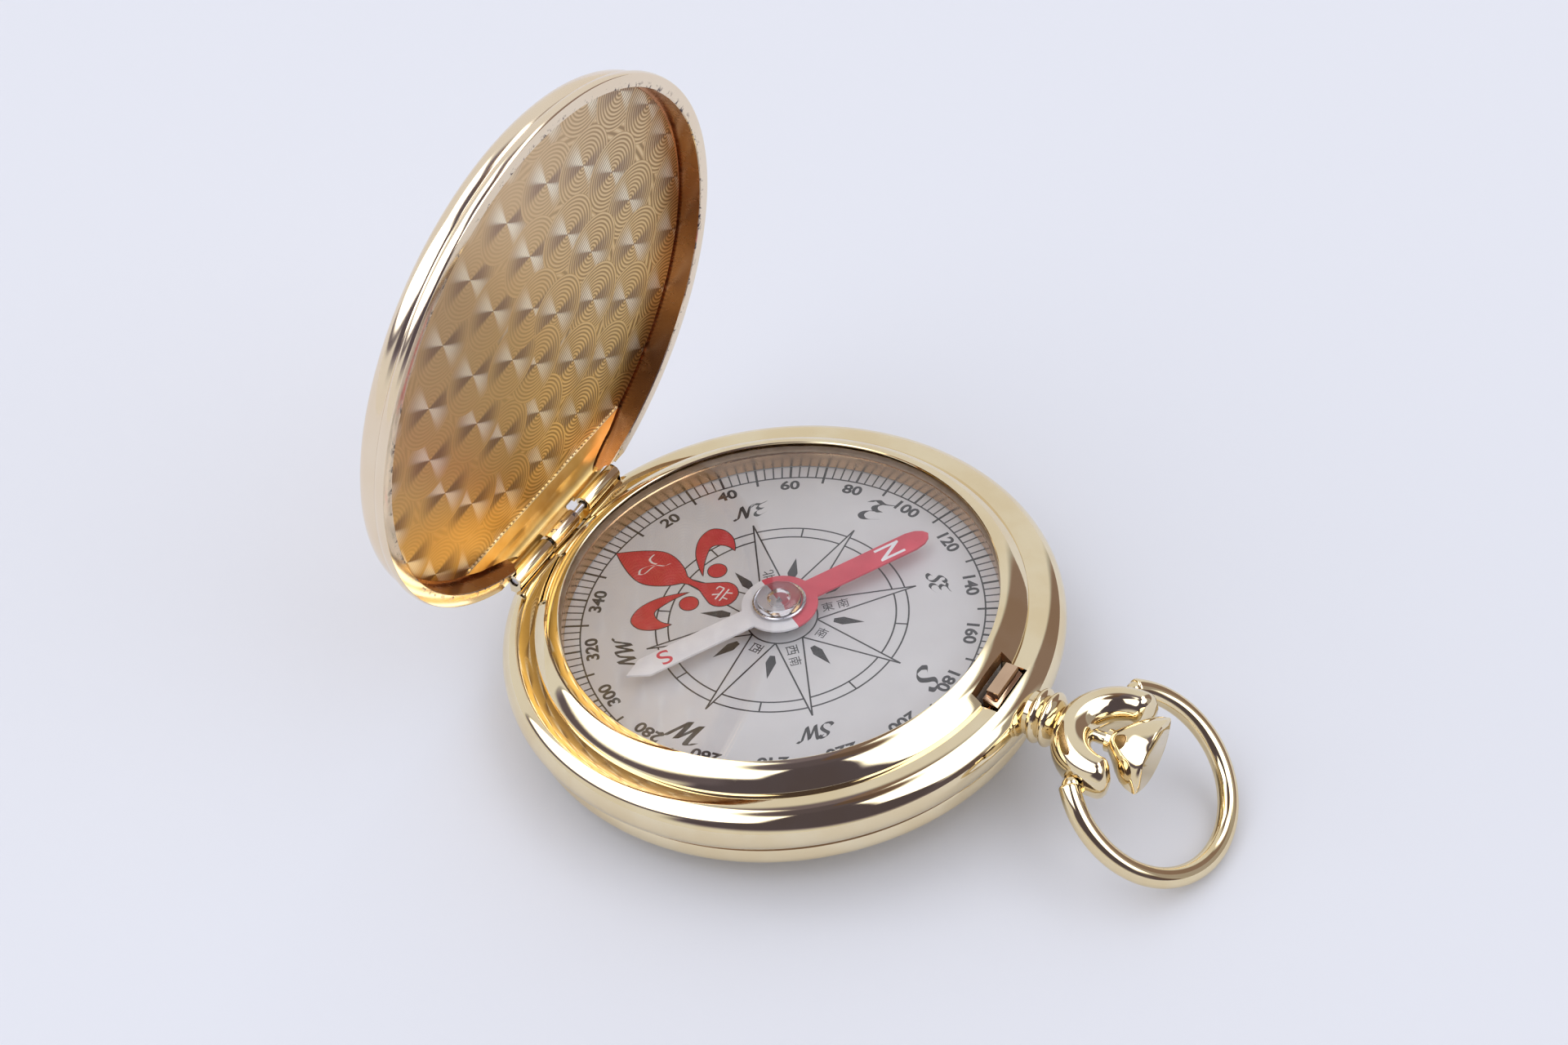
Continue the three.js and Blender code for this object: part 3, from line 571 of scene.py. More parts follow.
BACK_SPHERE = 107.09
BACK_EDGE = 20.6
BACK_WALL = 0.5
HINGE_HALF = 7.6
NOTCH_HALF = 2.4
CASE_FOOT = ((-21.25, 7.2), (-20.2, 8.35))


def back_line(edge, rise, steps):
    """Points of the back's sphere, from the middle out to an edge."""
    radii = [edge * step / steps for step in range(steps + 1)]
    return [(radius, BACK_SPHERE - math.sqrt(BACK_SPHERE**2 - radius**2) + rise) for radius in radii]


def back():
    """The domed back with its bead, flattened where it rests."""
    dome = back_line(BACK_EDGE, 0, 18)[:-1]
    bead = quarter((21.65, 3.0), (BACK_EDGE, 2.0))[::-1] + quarter((21.65, 3.0), (21.35, 4.05))[1:]
    inside = [(20.65, 4.05), (20.65, 2.75), *back_line(20.3, BACK_WALL, 12)[::-1]]
    bm = turned(dome + bead + inside)
    ground = CASE.inverted()
    plane = {"plane_co": ground.translation, "plane_no": ground.to_3x3() @ Vector((0, 0, 1))}
    cut = bmesh.ops.bisect_plane(bm, geom=whole(bm), clear_inner=True, **plane)
    rim = [item for item in cut["geom_cut"] if isinstance(item, bmesh.types.BMEdge)]
    bmesh.ops.holes_fill(bm, edges=rim)
    return bm


def band():
    """The rounded middle with its groove, cut for the hinge, the catch and the stem."""
    widest = (22.5, 5.9)
    outside = quarter(widest, (21.8, 4.62))[::-1] + quarter(widest, (20.5, 7.87), 18)[1:]
    ledge = [(19.0, 7.85), (18.75, 7.75), (18.75, 7.0)]
    inside = [(20.9, 7.0), (20.9, 4.2), (21.2, 4.2), (21.2, 4.58)]
    hinge_room = block((-30, -HINGE_HALF, 7.35), (-19.75, HINGE_HALF, 12))
    catch_room = block((10, -NOTCH_HALF, 6.7), (20.75, NOTCH_HALF, 12))
    stem_hole = rod((15, 0, AXLE_HEIGHT), (25, 0, AXLE_HEIGHT), 0.8)
    return carved(turned(outside + ledge + inside), "DIFFERENCE", hinge_room, catch_room, stem_hole)


def seamed(bm, low, high):
    """The same piece with the faces along its seam left brown."""
    for face in bm.faces:
        face.material_index = low < face.calc_center_median().z < high
    return bm


def bezel():
    """The broad convex ring round the glass, notched for the catch and cut back at the hinge."""
    crown = arced((17.55, 9.47), 80, 49, 2.58, 12)
    crown += arced(crown[-1], 49, 42.5, 9.5, 6)[1:]
    crown += arced(crown[-1], 42.5, 5, 0.07, 4)[1:]
    foot = [(19.57, 7.85), (18.8, 7.85), (18.1, 7.9)]
    lip = [(18.1, 9.3), (17.5, 9.31), (17.45, 9.38), (17.48, 9.44)]
    notch = block((18.6, -NOTCH_HALF, 5), (30, NOTCH_HALF, 12))
    hinge_room = block((-40, -HINGE_HALF - 0.1, 5), (-19.9, HINGE_HALF + 0.1, 12))
    bm = carved(turned(crown + foot + lip), "DIFFERENCE", notch, hinge_room)
    # The notch walls and the underside of the lip take the darker gold, as painted shade
    for face in bm.faces:
        middle = face.calc_center_median()
        notched = abs(face.normal.z) < 0.1 and middle.x > 18.5 and abs(middle.y) < NOTCH_HALF + 0.05
        under_lip = face.normal.z < 0 and middle.z > 9
        face.material_index = notched or under_lip
    return bm


def crystal():
    """A shallow dome of glass."""
    edge, top, drop, thickness = 17.95, 9.94, 0.75, 0.4
    return turned(vaulted(edge, top, drop, 24) + vaulted(edge, top - thickness, drop, 24)[::-1])


def rehaut():
    return turned([(17.4, 6.84), (17.42, 8.2), (17.5, 8.29), (17.7, 8.29), (17.7, 6.84)])


def hinge_rod(start, end, radius):
    return rod((HINGE.x, start, HINGE.z), (HINGE.x, end, HINGE.z), radius)


def knuckle(start, end, low, high):
    """A hinge tube with rounded ends and a bore, on a foot as long as itself."""
    bore = 0.4
    lip = [(bore, 0.06), (0.46, 0), (0.58, 0), (0.67, 0.05), (0.7, 0.14)]
    wall = lip + [(radius, end - start - height) for radius, height in lip[::-1]]
    place = Matrix.Translation(HINGE + Vector((0, start, 0))) @ turned_by(-90, "X")
    foot = block((low[0], start, low[1]), (high[0], end, high[1]))
    tube = carved(turned(wall, 64, place), "UNION", foot)
    return carved(tube, "DIFFERENCE", hinge_rod(start - 1, end + 1, bore))


def catch_face():
    """The ground face of the catch that fills the notch, sloping outward to a bevelled edge."""
    section = [(19.36, 8.45), (20.45, 8.02), (20.62, 7.9), (20.62, 7.3), (19.36, 7.3)]
    bm = extruded(section, -2.1, 4.0)
    bevelled(bm, bm.edges, 0.06, 2)
    return bm


CASE_TONES = [CASE_GOLD, SEAM_GOLD]
piece("back_dome", seamed(back(), 3.85, 4.2), CASE, "case", CASE_TONES, ["back_cover"])
piece("band_roll", seamed(band(), 4.15, 4.68), CASE, "case", CASE_TONES, ["case_band"])
piece("bezel_ring", bezel(), CASE, "case", [CASE_GOLD, NOTCH_SHADE_GOLD], ["bezel"])
piece("glass_dome", crystal(), CASE, "case", [GLASS], ["crystal"])
# The wall round the dial in the darker gold, as painted shade
piece("rehaut_wall", rehaut(), CASE, "case", [WALL_SHADE_GOLD], ["rehaut_ring"])
# The catch's face in the tan steel, a painted reflection of the gold notch
piece("catch_nose_face", catch_face(), CASE, "catch", [CATCH_STEEL_GOLD_REFLECTION])
near_tube = knuckle(-7.3, -2.5, *CASE_FOOT)
far_tube = knuckle(2.7, 7.3, *CASE_FOOT)
piece("hinge_tube_near", near_tube, CASE, "case", [CASE_GOLD], ["case_knuckle_near"])
piece("hinge_tube_far", far_tube, CASE, "case", [CASE_GOLD], ["case_knuckle_far"])


# Pendant, yoke, crown and bow

def neck():
    """Two beads between the band and the yoke, with a fine fillet at the case."""
    start, first, beaded, slim, bulge = 22.3, 22.65, 1.9, 1.75, 0.45
    beads = [(0.6, start), (slim, start), (slim, first)]
    for step in range(1, 40):
        share = step / 40
        beads.append((slim + bulge * abs(math.sin(math.tau * share)), first + beaded * share))
    return turned(beads + [(slim, first + beaded), (1.2, 24.85), (0.85, 24.85), (0.85, start)], 96)


def yoke():
    """A broad rounded crescent, thick in the middle and drawn in towards its two ends."""
    middle, radius, first, span = 29.6, 3.7, 72, 216
    width, height, swell, nose_share = 1.38, 1.75, 0.2, 0.06
    bm = bmesh.new()
    rings = []
    steps = 60
    for step in range(steps + 1):
        share = step / steps
        belly = swell * math.sin(math.pi * share)
        nose = max(0, 1 - min(share, 1 - share) / nose_share)
        round_off = max(0.12, math.sqrt(1 - nose**2))
        place = shifted_to(middle, 0, AXLE_HEIGHT) @ turned_by(first + span * share, "Z")
        place = place @ shifted_to(radius - belly, 0, 0) @ turned_by(90, "X")
        place = place @ Matrix.Diagonal(((width + belly) * round_off, (height + belly) * round_off, 1, 1))
        rings.append(hoop(bm, 1, place)[1])
    skinned(bm, rings)
    starts = [BOW_AXIS + Vector((0, side * 4.1, 0)) for side in (1, -1)]
    sockets = [rod(start, start + Vector((0, start.y, 0)), 0.98) for start in starts]
    return carved(bm, "DIFFERENCE", *sockets)


def crown():
    """The push piece: a short stem and a bell that widens from round to a flat pointed oval."""
    stalk = turned([(0, 28.8), (0.9, 28.8), (0.9, 31.2), (0, 31.2)], 64, turned_by(90, "Y"))
    half, wide, tilt, steps = 3.3, 1.8, 20, 20
    reach = (half**2 + wide**2) / (2 * wide)
    spread = math.asin(half / reach)
    oval = []
    for side in (1, -1):
        for step in range(steps):
            angle = side * (spread - 2 * spread * step / steps)
            oval.append((side * (reach * math.cos(angle) - reach + wide), reach * math.sin(angle)))
    profile = [(29.15, 0, 0.85), (29.25, 0, 1.0), (29.7, 0.12, 1.2), (30.3, 0.4, 1.4), (31.0, 0.7, 1.6)]
    profile += [(31.6, 0.88, 1.75), (32.1, 0.97, 1.8), (32.4, 1, 0), (32.53, 0.985, 0), (32.6, 0.94, 0)]
    bm = bmesh.new()
    rings = []
    for x, share, round_part in profile:
        verts = []
        for z, y in oval:
            grow = share + (1 - share) * round_part / math.hypot(y, z)
            verts.append(bm.verts.new((x, y * grow, z * grow)))
        rings.append(chained(bm, [*verts, verts[0]]))
    skinned(bm, rings)
    bmesh.ops.transform(bm, matrix=turned_by(tilt, "X"), verts=bm.verts)
    bm = carved(bm, "UNION", stalk)
    bmesh.ops.translate(bm, verts=bm.verts, vec=(0, 0, AXLE_HEIGHT))
    return bm


def bow():
    """A round wire ring, open where its two pins go into the yoke, with an eye at each end."""
    reach, offset, wire, half = 7.38, 4.84, 0.82, 133.5
    bm = bmesh.new()
    verts, edges = hoop(bm, wire, turned_by(-half, "Z") @ shifted_to(reach, 0, 0) @ turned_by(90, "X"))
    spun(bm, [*verts, *edges], math.radians(2 * half), 120)
    bmesh.ops.holes_fill(bm, edges=[edge for edge in bm.edges if edge.is_boundary])
    bmesh.ops.recalc_face_normals(bm, faces=bm.faces)
    rims = [edge for edge in bm.edges if any(len(face.verts) > 4 for face in edge.link_faces)]
    bevelled(bm, rims, 0.25, 4)
    bmesh.ops.translate(bm, verts=bm.verts, vec=(offset, 0, 0))
    eyes = []
    for side in (1, -1):
        eye = bmesh.new()
        place = shifted_to(0, side * 5.2, 0) @ Matrix.Diagonal((1, 1.25, 1, 1))
        bmesh.ops.create_uvsphere(eye, u_segments=40, v_segments=24, radius=0.78, matrix=place)
        eyes.append(eye)
    return carved(bm, "UNION", *eyes)


piece("neck_beads", neck(), STEM, "case", [CASE_GOLD], ["pendant_neck"])
piece("yoke_crescent", yoke(), CASE, "case", [CASE_GOLD], ["bow_yoke"])
piece("crown_head", crown(), CASE, "push", [CASE_GOLD], ["crown"])
piece("bow_ring", bow(), BOW, "bow", [BOW_GOLD], ["bow"])


# Lid

HEEL = -20.05
STRIP_EDGE = -17.4
PLATE_RADIUS = 20.59
LID_FOOT = ((-21.2, 8.35), (-20.3, 9.3))


def lid():
    """The domed shell with its rolled rim, cut straight along the hinge."""
    rim = [(20.89, 8.42), (20.96, 8.35), (21.95, 8.35)]
    bead = quarter((22.08, 8.75), (21.95, 8.35))[::-1] + quarter((22.08, 8.75), (21.62, 9.35))[1:]
    groove = [(21.58, 9.5), (21.62, 9.6)]
    shoulder = quarter((21.66, 9.9), (20.7, 11.2))
    dome = vaulted(20.7, 13.2, 2.0, 20)[-2::-1]
    roof = vaulted(20.89, 12.6, 2.2, 16)
    heel_room = block((-40, -40, 0), (HEEL, 40, 30))
    tube_room = hinge_rod(-HINGE_HALF, HINGE_HALF, 1.0)
    bm = carved(turned(rim + bead + groove + shoulder + dome + roof), "DIFFERENCE", heel_room, tube_room)
    # The inner wall of the rim takes the darker gold, as painted shade
    for face in bm.faces:
        x, y, z = face.calc_center_median()
        face.material_index = math.hypot(x, y) < 20.93 and 8.4 < z < 10.6 and x > -20
    return bm


def liner():
    """The engine-turned plate, cut along a chord next to the hinge."""
    bm = turned([(0, 10.25), (20.55, 10.25), (PLATE_RADIUS, 10.29), (PLATE_RADIUS, 10.55), (0, 10.55)])
    return carved(bm, "DIFFERENCE", block((-40, -40, 5), (-17.25, 40, 15)))


def disc(radius):
    return turned([(0, 5), (radius, 5), (radius, 15), (0, 15)], 160)


def hinge_bar():
    """The plain sloping strip across the lid, hollow under so that it clears the bezel."""
    hollow = quarter((-19.84, 9.15), (-18.45, 9.95), 8)
    section = [(HEEL, 10.55), (HEEL, 9.15), *hollow, (STRIP_EDGE, 10.25), (STRIP_EDGE, 10.55)]
    strip = carved(extruded(section, -14, 28), "INTERSECT", disc(PLATE_RADIUS))
    apron = carved(block((-20.75, -9, 9.14), (-19.95, 9, 9.7)), "INTERSECT", disc(21.7))
    gap = block((-21, 1.45, 8), (-20.2, 2.6, 11))
    return carved(carved(strip, "UNION", apron), "DIFFERENCE", gap)


def chord_edge():
    """The saw-toothed edge where the engine turning runs out at the strip, in near-white gold as a painted
    highlight.
    """
    teeth, half, height, thickness = 96, 10.8, 10.16, 0.1
    along = [-half + 2 * half * step / teeth for step in range(teeth + 1)]
    bm = bmesh.new()
    foot = [bm.verts.new((STRIP_EDGE, y, height)) for y in along]
    crest = grown_verts(bmesh.ops.extrude_edge_only(bm, edges=chained(bm, foot)))
    bmesh.ops.translate(bm, verts=crest, vec=(0.11, 0, 0))
    bmesh.ops.translate(bm, verts=sorted(crest, key=lambda vert: vert.co.y)[::2], vec=(0.07, 0, 0))
    return drawn_out(bm, (0, 0, thickness))


piece("lid_dome", lid(), LID, "lid", [LID_GOLD, LID_WALL_SHADE], ["lid_shell"])
piece("lid_plate", liner(), LID, "lid", [LINER_GOLD], ["lid_liner"])
piece("lid_strip", hinge_bar(), LID, "lid", [BAR_GOLD], ["lid_hinge_bar"])
piece("lid_strip_edge", chord_edge(), LID, "lid", [EDGE_HIGHLIGHT_GOLD])
lid_tube = knuckle(-2.2, 1.3, *LID_FOOT)
piece("hinge_tube_lid", lid_tube, LID, "lid", [LID_GOLD], ["lid_knuckle"])


# Needle

BLADE_LOW = 8.14
BLADE_THICK = 0.2
BLADE_TOP = BLADE_LOW + BLADE_THICK
CAP_RADIUS = 1.75
CAP_FOOT = 8.49


def blade():
    """A flat bar with a round hub: one end rounded and red, the other pointed and white."""
    half, tip, hub, shoulder, steps = 1.0, 13.7, 3.05, 12.1, 24
    lean = math.asin(half / hub)
    angles = [lean + (math.pi - 2 * lean) * step / steps for step in range(steps + 1)]
    left, right = ([at(start + angle, hub) for angle in angles] for start in (0, math.pi))
    nose = [(shoulder, -half), (12.9, -0.82), (13.45, -0.45), (tip, 0)]
    nose += [(x, -y) for x, y in nose[2::-1]]
    point = [(-shoulder, half), (-tip, 0), (-shoulder, -half)]
    bm = bmesh.new()
    bm.faces.new([bm.verts.new((x, y, 0)) for x, y in nose + left + point + right])
    bmesh.ops.bisect_plane(bm, geom=whole(bm), plane_co=(0, 0, 0), plane_no=(1, 0, 0))
    raised(bm, BLADE_LOW, BLADE_THICK)
    middle = BLADE_LOW + BLADE_THICK / 2
    rims = [edge for edge in bm.edges if all(vert.co.z > middle for vert in edge.verts)]
    rims = [edge for edge in rims if any(abs(face.normal.z) < 0.5 for face in edge.link_faces)]
    bevelled(bm, rims, 0.05, 2)
    for face in bm.faces:
        face.material_index = face.calc_center_median().x <= 0
    return bm


def needle_cap():
    """A clear domed cap with a short skirt."""
    dome = quarter((CAP_RADIUS, 8.99), (0, 9.34))
    hollow = [(0, 9.05), (0.7, 9.0), (0.9, 8.8), (0.9, CAP_FOOT)]
    return turned([(CAP_RADIUS, CAP_FOOT), *dome, *hollow], 96)


def cap_ring():
    section = [(1.9, CAP_FOOT), (2.08, CAP_FOOT), (2.15, 8.55), (2.13, 8.63), (2.02, 8.69), (1.9, 8.65)]
    return turned(section, 96)


def lettered(bm, words, tall, place, wide=1.0, bold=0.0):
    """Words of the built-in type as flat faces, centred, with the given height."""
    curve = bpy.data.curves.new("words", "FONT")
    curve.body = words
    curve.offset = bold
    text = bpy.data.objects.new("words", curve)
    mesh = bpy.data.meshes.new_from_object(text)
    spots = [vert.co for vert in mesh.vertices]
    low = Vector((min(spot.x for spot in spots), min(spot.y for spot in spots), 0))
    high = Vector((max(spot.x for spot in spots), max(spot.y for spot in spots), 0))
    scale = tall / (high.y - low.y)
    centring = Matrix.Translation(-(low + high) / 2)
    mesh.transform(place @ Matrix.Diagonal((scale * wide, scale, 1, 1)) @ centring)
    bm.from_mesh(mesh)
    bpy.data.objects.remove(text)


def needle_marks():
    """The white letter of the red end, the red letter of the white end and a low red dot near the red tip."""
    bm = bmesh.new()
    lettered(bm, "N", 2.2, shifted_to(10.1, 0, 0) @ turned_by(-90, "Z"), 0.7, 0.01)
    bmesh.ops.create_circle(bm, cap_ends=True, segments=24, radius=0.42, matrix=shifted_to(12.75, 0, 0))
    lettered(bm, "S", 1.5, shifted_to(-10.3, 0, 0) @ turned_by(-180, "Z"), 1.2, 0.005)
    for face in bm.faces:
        x = face.calc_center_median().x
        face.material_index = x < 0 or x > 12
    return raised(bm, BLADE_TOP - 0.002, 0.012)


BLADE_PAINT = [NEEDLE_RED, NEEDLE_WHITE]
MARK_PAINT = [NEEDLE_WHITE, NEEDLE_RED]
piece("blade_painted", blade(), NEEDLE, "needle", BLADE_PAINT, ["needle_blade"])
piece("blade_letters", needle_marks(), NEEDLE, "needle", MARK_PAINT)
piece("cap_dome", needle_cap(), NEEDLE, "needle", [CLEAR], ["needle_cap"])
piece("cap_band", cap_ring(), NEEDLE, "needle", [STEEL], ["needle_cap_ring"])


# Printing on the dial

DIAL_TOP = 6.69
PRINT_THICK = 0.01
FINE = 0.13
SCALE_IN = 16.15
SCALE_OUT = 17.45
MARKS = 144
TIP = 11.0
VALLEY = 2.85
EIGHTH = math.pi / 4
TIES_IN = 9.1
TIES_OUT = 10.1


def ruled(bm, start, end, width):
    """A straight printed line."""
    along = Vector((*end, 0)) - Vector((*start, 0))
    middle = (Vector((*start, 0)) + Vector((*end, 0))) / 2
    place = Matrix.Translation(middle) @ Matrix.Rotation(math.atan2(along.y, along.x), 4, "Z")
    place = place @ Matrix.Diagonal((along.length, width, 1, 1))
    bmesh.ops.create_grid(bm, x_segments=1, y_segments=1, size=0.5, matrix=place)


def swept(bm, radius, start, span, steps):
    """A fine printed arc about the middle of the dial."""
    facing = Vector((*at(start, 1), 0))
    ends = [bm.verts.new(facing * (radius + side * FINE / 2)) for side in (-1, 1)]
    spun(bm, [*ends, bm.edges.new(ends)], span, steps, span == math.tau)


def printed(bm):
    return raised(bm, DIAL_TOP, PRINT_THICK)


def scale_marks():
    """The degree scale: a ring with a mark each 2.5 degrees, heavier at the tens."""
    bm = bmesh.new()
    swept(bm, SCALE_IN, 0, math.tau, 240)
    for mark in range(MARKS):
        angle = -math.tau * mark / MARKS
        inner = 15.5 if mark % 8 == 4 else SCALE_IN
        width = 0.2 if mark % 4 == 0 else 0.12
        ruled(bm, at(angle, inner), at(angle, SCALE_OUT), width)
    return printed(bm)


def scale_numbers():
    """The numbers at each twenty degrees, tops outward."""
    bm = bmesh.new()
    for bearing in range(20, 360, 20):
        place = turned_by(-bearing - 90, "Z") @ shifted_to(0, 15.25, 0)
        lettered(bm, str(bearing), 1.06, place, 1.18, 0.03)
    return printed(bm)


def point_half(radius):
    """Half the angle that a point of the star takes up at a radius."""
    tip = Vector((TIP, 0))
    side = Vector(at(EIGHTH / 2, VALLEY)) - tip
    half_b = tip.dot(side)
    square = side.length_squared
    share = (-half_b - math.sqrt(half_b**2 - square * (TIP**2 - radius**2))) / square
    spot = tip + side * share
    return math.atan2(spot.y, spot.x)


def rose():
    """An eight-pointed star in outline, two rings behind it with ties, and solid darts between its points."""
    dart = [(4.2, 0.2), (4.95, 0.42), (6.65, 0), (4.95, -0.42), (4.2, -0.2)]
    bm = bmesh.new()
    swept(bm, VALLEY, 0, math.tau, 120)
    for point in range(8):
        angle = point * EIGHTH
        between = angle + EIGHTH / 2
        for side in (1, -1):
            ruled(bm, at(angle, TIP), at(angle + side * EIGHTH / 2, VALLEY), FINE)
        for radius in (TIES_OUT, TIES_IN):
            half = point_half(radius)
            swept(bm, radius, angle + half, EIGHTH - 2 * half, 20)
        ruled(bm, at(between, TIES_IN), at(between, TIES_OUT), FINE)
        place = Matrix.Rotation(between, 4, "Z")
        bm.faces.new([bm.verts.new(place @ Vector((x, y, 0))) for x, y in dart])
    return printed(bm)


def flowing(points):
    """A smooth line through the points."""
    steps = 6
    spots = [Vector(point) for point in points]
    ends = [spots[0] * 2 - spots[1], *spots, spots[-1] * 2 - spots[-2]]
    line = []
    for first, second, third, fourth in zip(ends, ends[1:], ends[2:], ends[3:]):
        for step in range(steps):
            t = step / steps
            bend = (third - first) * t + (first * 2 - second * 5 + third * 4 - fourth) * t**2
            line.append(second + (bend + (second * 3 - first - third * 3 + fourth) * t**3) / 2)
    return [*line, spots[-1]]


def penned(bm, points, nib, place):
    """A stroke of a broad pen held at one angle."""
    verts = [bm.verts.new(place @ Vector((*spot, 0))) for spot in flowing(points)]
    grown = bmesh.ops.extrude_edge_only(bm, edges=chained(bm, verts))
    bmesh.ops.translate(bm, verts=grown_verts(grown), vec=place.to_3x3() @ Vector((*nib, 0)))


# Each letter's width and its strokes, for a height of one
STROKES = {
    "N": (
        1.0,
        [(-0.12, 0.1), (0.0, 0.0), (0.12, 0.12), (0.22, 0.55), (0.32, 1.0)],
        [(0.32, 1.0), (0.45, 0.62), (0.62, 0.0)],
        [(0.62, 0.0), (0.72, 0.5), (0.84, 0.92), (1.02, 1.0)],
    ),
    "E": (
        0.85,
        [(-0.05, 0.8), (0.1, 0.98), (0.4, 0.9), (0.78, 1.0)],
        [(0.4, 0.9), (0.24, 0.7), (0.34, 0.54), (0.56, 0.5)],
        [(0.44, 0.5), (0.16, 0.38), (0.1, 0.14), (0.34, 0.0), (0.7, 0.16)],
    ),
    "S": (
        0.7,
        [(0.72, 0.78), (0.62, 0.98), (0.36, 0.96), (0.24, 0.74)]
        + [(0.44, 0.52), (0.58, 0.28), (0.42, 0.03), (0.1, 0.04)],
        [(0.1, 0.04), (-0.02, 0.2), (0.06, 0.3)],
    ),
    "W": (
        1.3,
        [(-0.16, 0.78), (0.0, 0.98), (0.14, 0.86), (0.2, 0.0)],
        [(0.2, 0.0), (0.4, 0.5), (0.58, 0.9)],
        [(0.58, 0.9), (0.6, 0.4), (0.66, 0.0)],
        [(0.66, 0.0), (0.86, 0.55), (1.02, 0.96), (1.22, 0.9)],
    ),
}


LETTER_SLOPE = Matrix(((1, 0.18, 0, 0), (0, 1, 0, 0), (0, 0, 1, 0), (0, 0, 0, 1)))
LETTERS = (
    ("NE", 45, 1.45, 11.95),
    ("E", 90, 2.4, 12.4),
    ("SE", 135, 1.45, 11.95),
    ("S", 180, 2.2, 12.5),
    ("SW", 225, 1.45, 11.95),
    ("W", 270, 2.2, 12.5),
    ("NW", 315, 1.45, 11.95),
)
SIGNS = ("東北", "東", "東南", "南", "西南", "西", "西北")


def direction_letters():
    """The eight directions but north, in a sloping pen hand."""
    bm = bmesh.new()
    for words, bearing, tall, radius in LETTERS:
        start = -sum(STROKES[letter][0] for letter in words) / 2
        for letter in words:
            width, *strokes = STROKES[letter]
            place = turned_by(-bearing - 90, "Z") @ shifted_to(start * tall, radius, 0)
            place = place @ Matrix.Diagonal((tall, tall, 1, 1)) @ LETTER_SLOPE
            for stroke in strokes:
                penned(bm, stroke, (0.18, 0.1), place)
            start += width
    return printed(bm)


def direction_words():
    """The same directions in Chinese, small, along the points of the star."""
    bm = bmesh.new()
    for words, bearing in zip(SIGNS, range(45, 360, 45)):
        for index, sign in enumerate(words):
            place = turned_by(-bearing, "Z") @ shifted_to(3.75 + 1.25 * index, 0, 0)
            lettered(bm, sign, 0.95, place)
    return printed(bm)


# Outlines of the north mark, as distances out from the middle of the dial and to its side
LEAF = [(16.16, 0), (14.9, 0.88), (13.6, 1.6), (12.5, 1.92), (11.4, 1.75), (10.2, 1.15), (9.35, 0.42)]
FOOT = [(8.7, 0.26), (7.75, 0.4), (6.8, 0.93), (5.95, 1.35), (5.2, 1.25), (4.6, 0.7), (4.42, 0)]
PETAL_OUT = [(8.24, 1.0), (9.13, 1.72), (10.05, 2.67), (10.65, 3.7), (10.9, 4.65), (10.8, 5.55)]
PETAL_OUT += [(10.4, 6.05), (9.55, 6.25), (8.58, 5.9), (7.88, 5.23), (7.5, 4.65)]
PETAL_IN = [(7.5, 4.65), (8.35, 4.8), (9.06, 4.6), (9.48, 4.15), (9.35, 3.35), (8.9, 2.2), (8.24, 1.0)]


def moved_out(points, grow):
    """A closed line with each spot moved outward."""
    around = [points[-1], *points, points[0]]
    area = sum(here.x * after.y - here.y * after.x for here, after in pairwise(around[1:]))
    side = math.copysign(1, area) * grow
    moved = []
    for before, here, after in zip(around, points, around[2:]):
        along = (after - before).normalized()
        moved.append((here.x + along.y * side, here.y - along.x * side, 0))
    return moved


def flipped(line):
    return [Vector((spot.x, -spot.y)) for spot in line]


def fleur():
    """The north mark: a leaf and foot, two curled petals and two balls, red on a black outline."""
    half = flowing(LEAF) + flowing(FOOT)
    petal = flowing(PETAL_OUT)[:-1] + flowing(PETAL_IN)[:-1]
    ball = [Vector((7.55, 2.07)) + Vector(at(math.tau * step / 32, 0.78)) for step in range(32)]
    shapes = [half + flipped(half[-2:0:-1]), petal, ball, flipped(petal), flipped(ball)]
    bm = bmesh.new()
    for grow, thickness, index in ((0.05, PRINT_THICK, 1), (-0.03, 0.018, 0)):
        layer = bmesh.new()
        for shape in shapes:
            layer.faces.new([layer.verts.new(spot) for spot in moved_out(shape, grow)])
        bmesh.ops.recalc_face_normals(layer, faces=layer.faces)
        raised(layer, DIAL_TOP, thickness)
        for face in layer.faces:
            face.material_index = index
        mesh = meshed(layer, "layer")
        bm.from_mesh(mesh)
        bpy.data.meshes.remove(mesh)
    return bm


def fleur_marks():
    """A white curl on the leaf and the sign for north on the foot."""
    bm = bmesh.new()
    curl = [(13.2, -1.35), (13.2, -0.75), (12.8, -0.5), (12.4, -0.5)]
    curl += [(12.85, -0.05), (13.2, 0.6), (13.0, 1.1)]
    tail = [(13.0, 1.1), (12.65, 0.85), (12.4, -0.3), (11.7, -0.65), (11.4, -1.1)]
    for stroke in (curl, tail):
        penned(bm, stroke, (0.12, 0.14), Matrix())
    lettered(bm, "北", 1.45, shifted_to(5.75, 0, 0))
    return raised(bm, DIAL_TOP, 0.022)


for name, layer, inks in (
    ("dial_scale", scale_marks(), [INK]),
    ("dial_numbers", scale_numbers(), [INK]),
    ("dial_rose", rose(), [INK]),
    ("dial_letters", direction_letters(), [INK]),
    ("dial_words", direction_words(), [INK]),
    ("dial_north_mark", fleur(), [RED_INK, INK]),
    ("dial_north_signs", fleur_marks(), [WHITE_INK]),
):
    piece(name, layer, DIAL, "case", inks)


# Finishes of the solids that show as they are

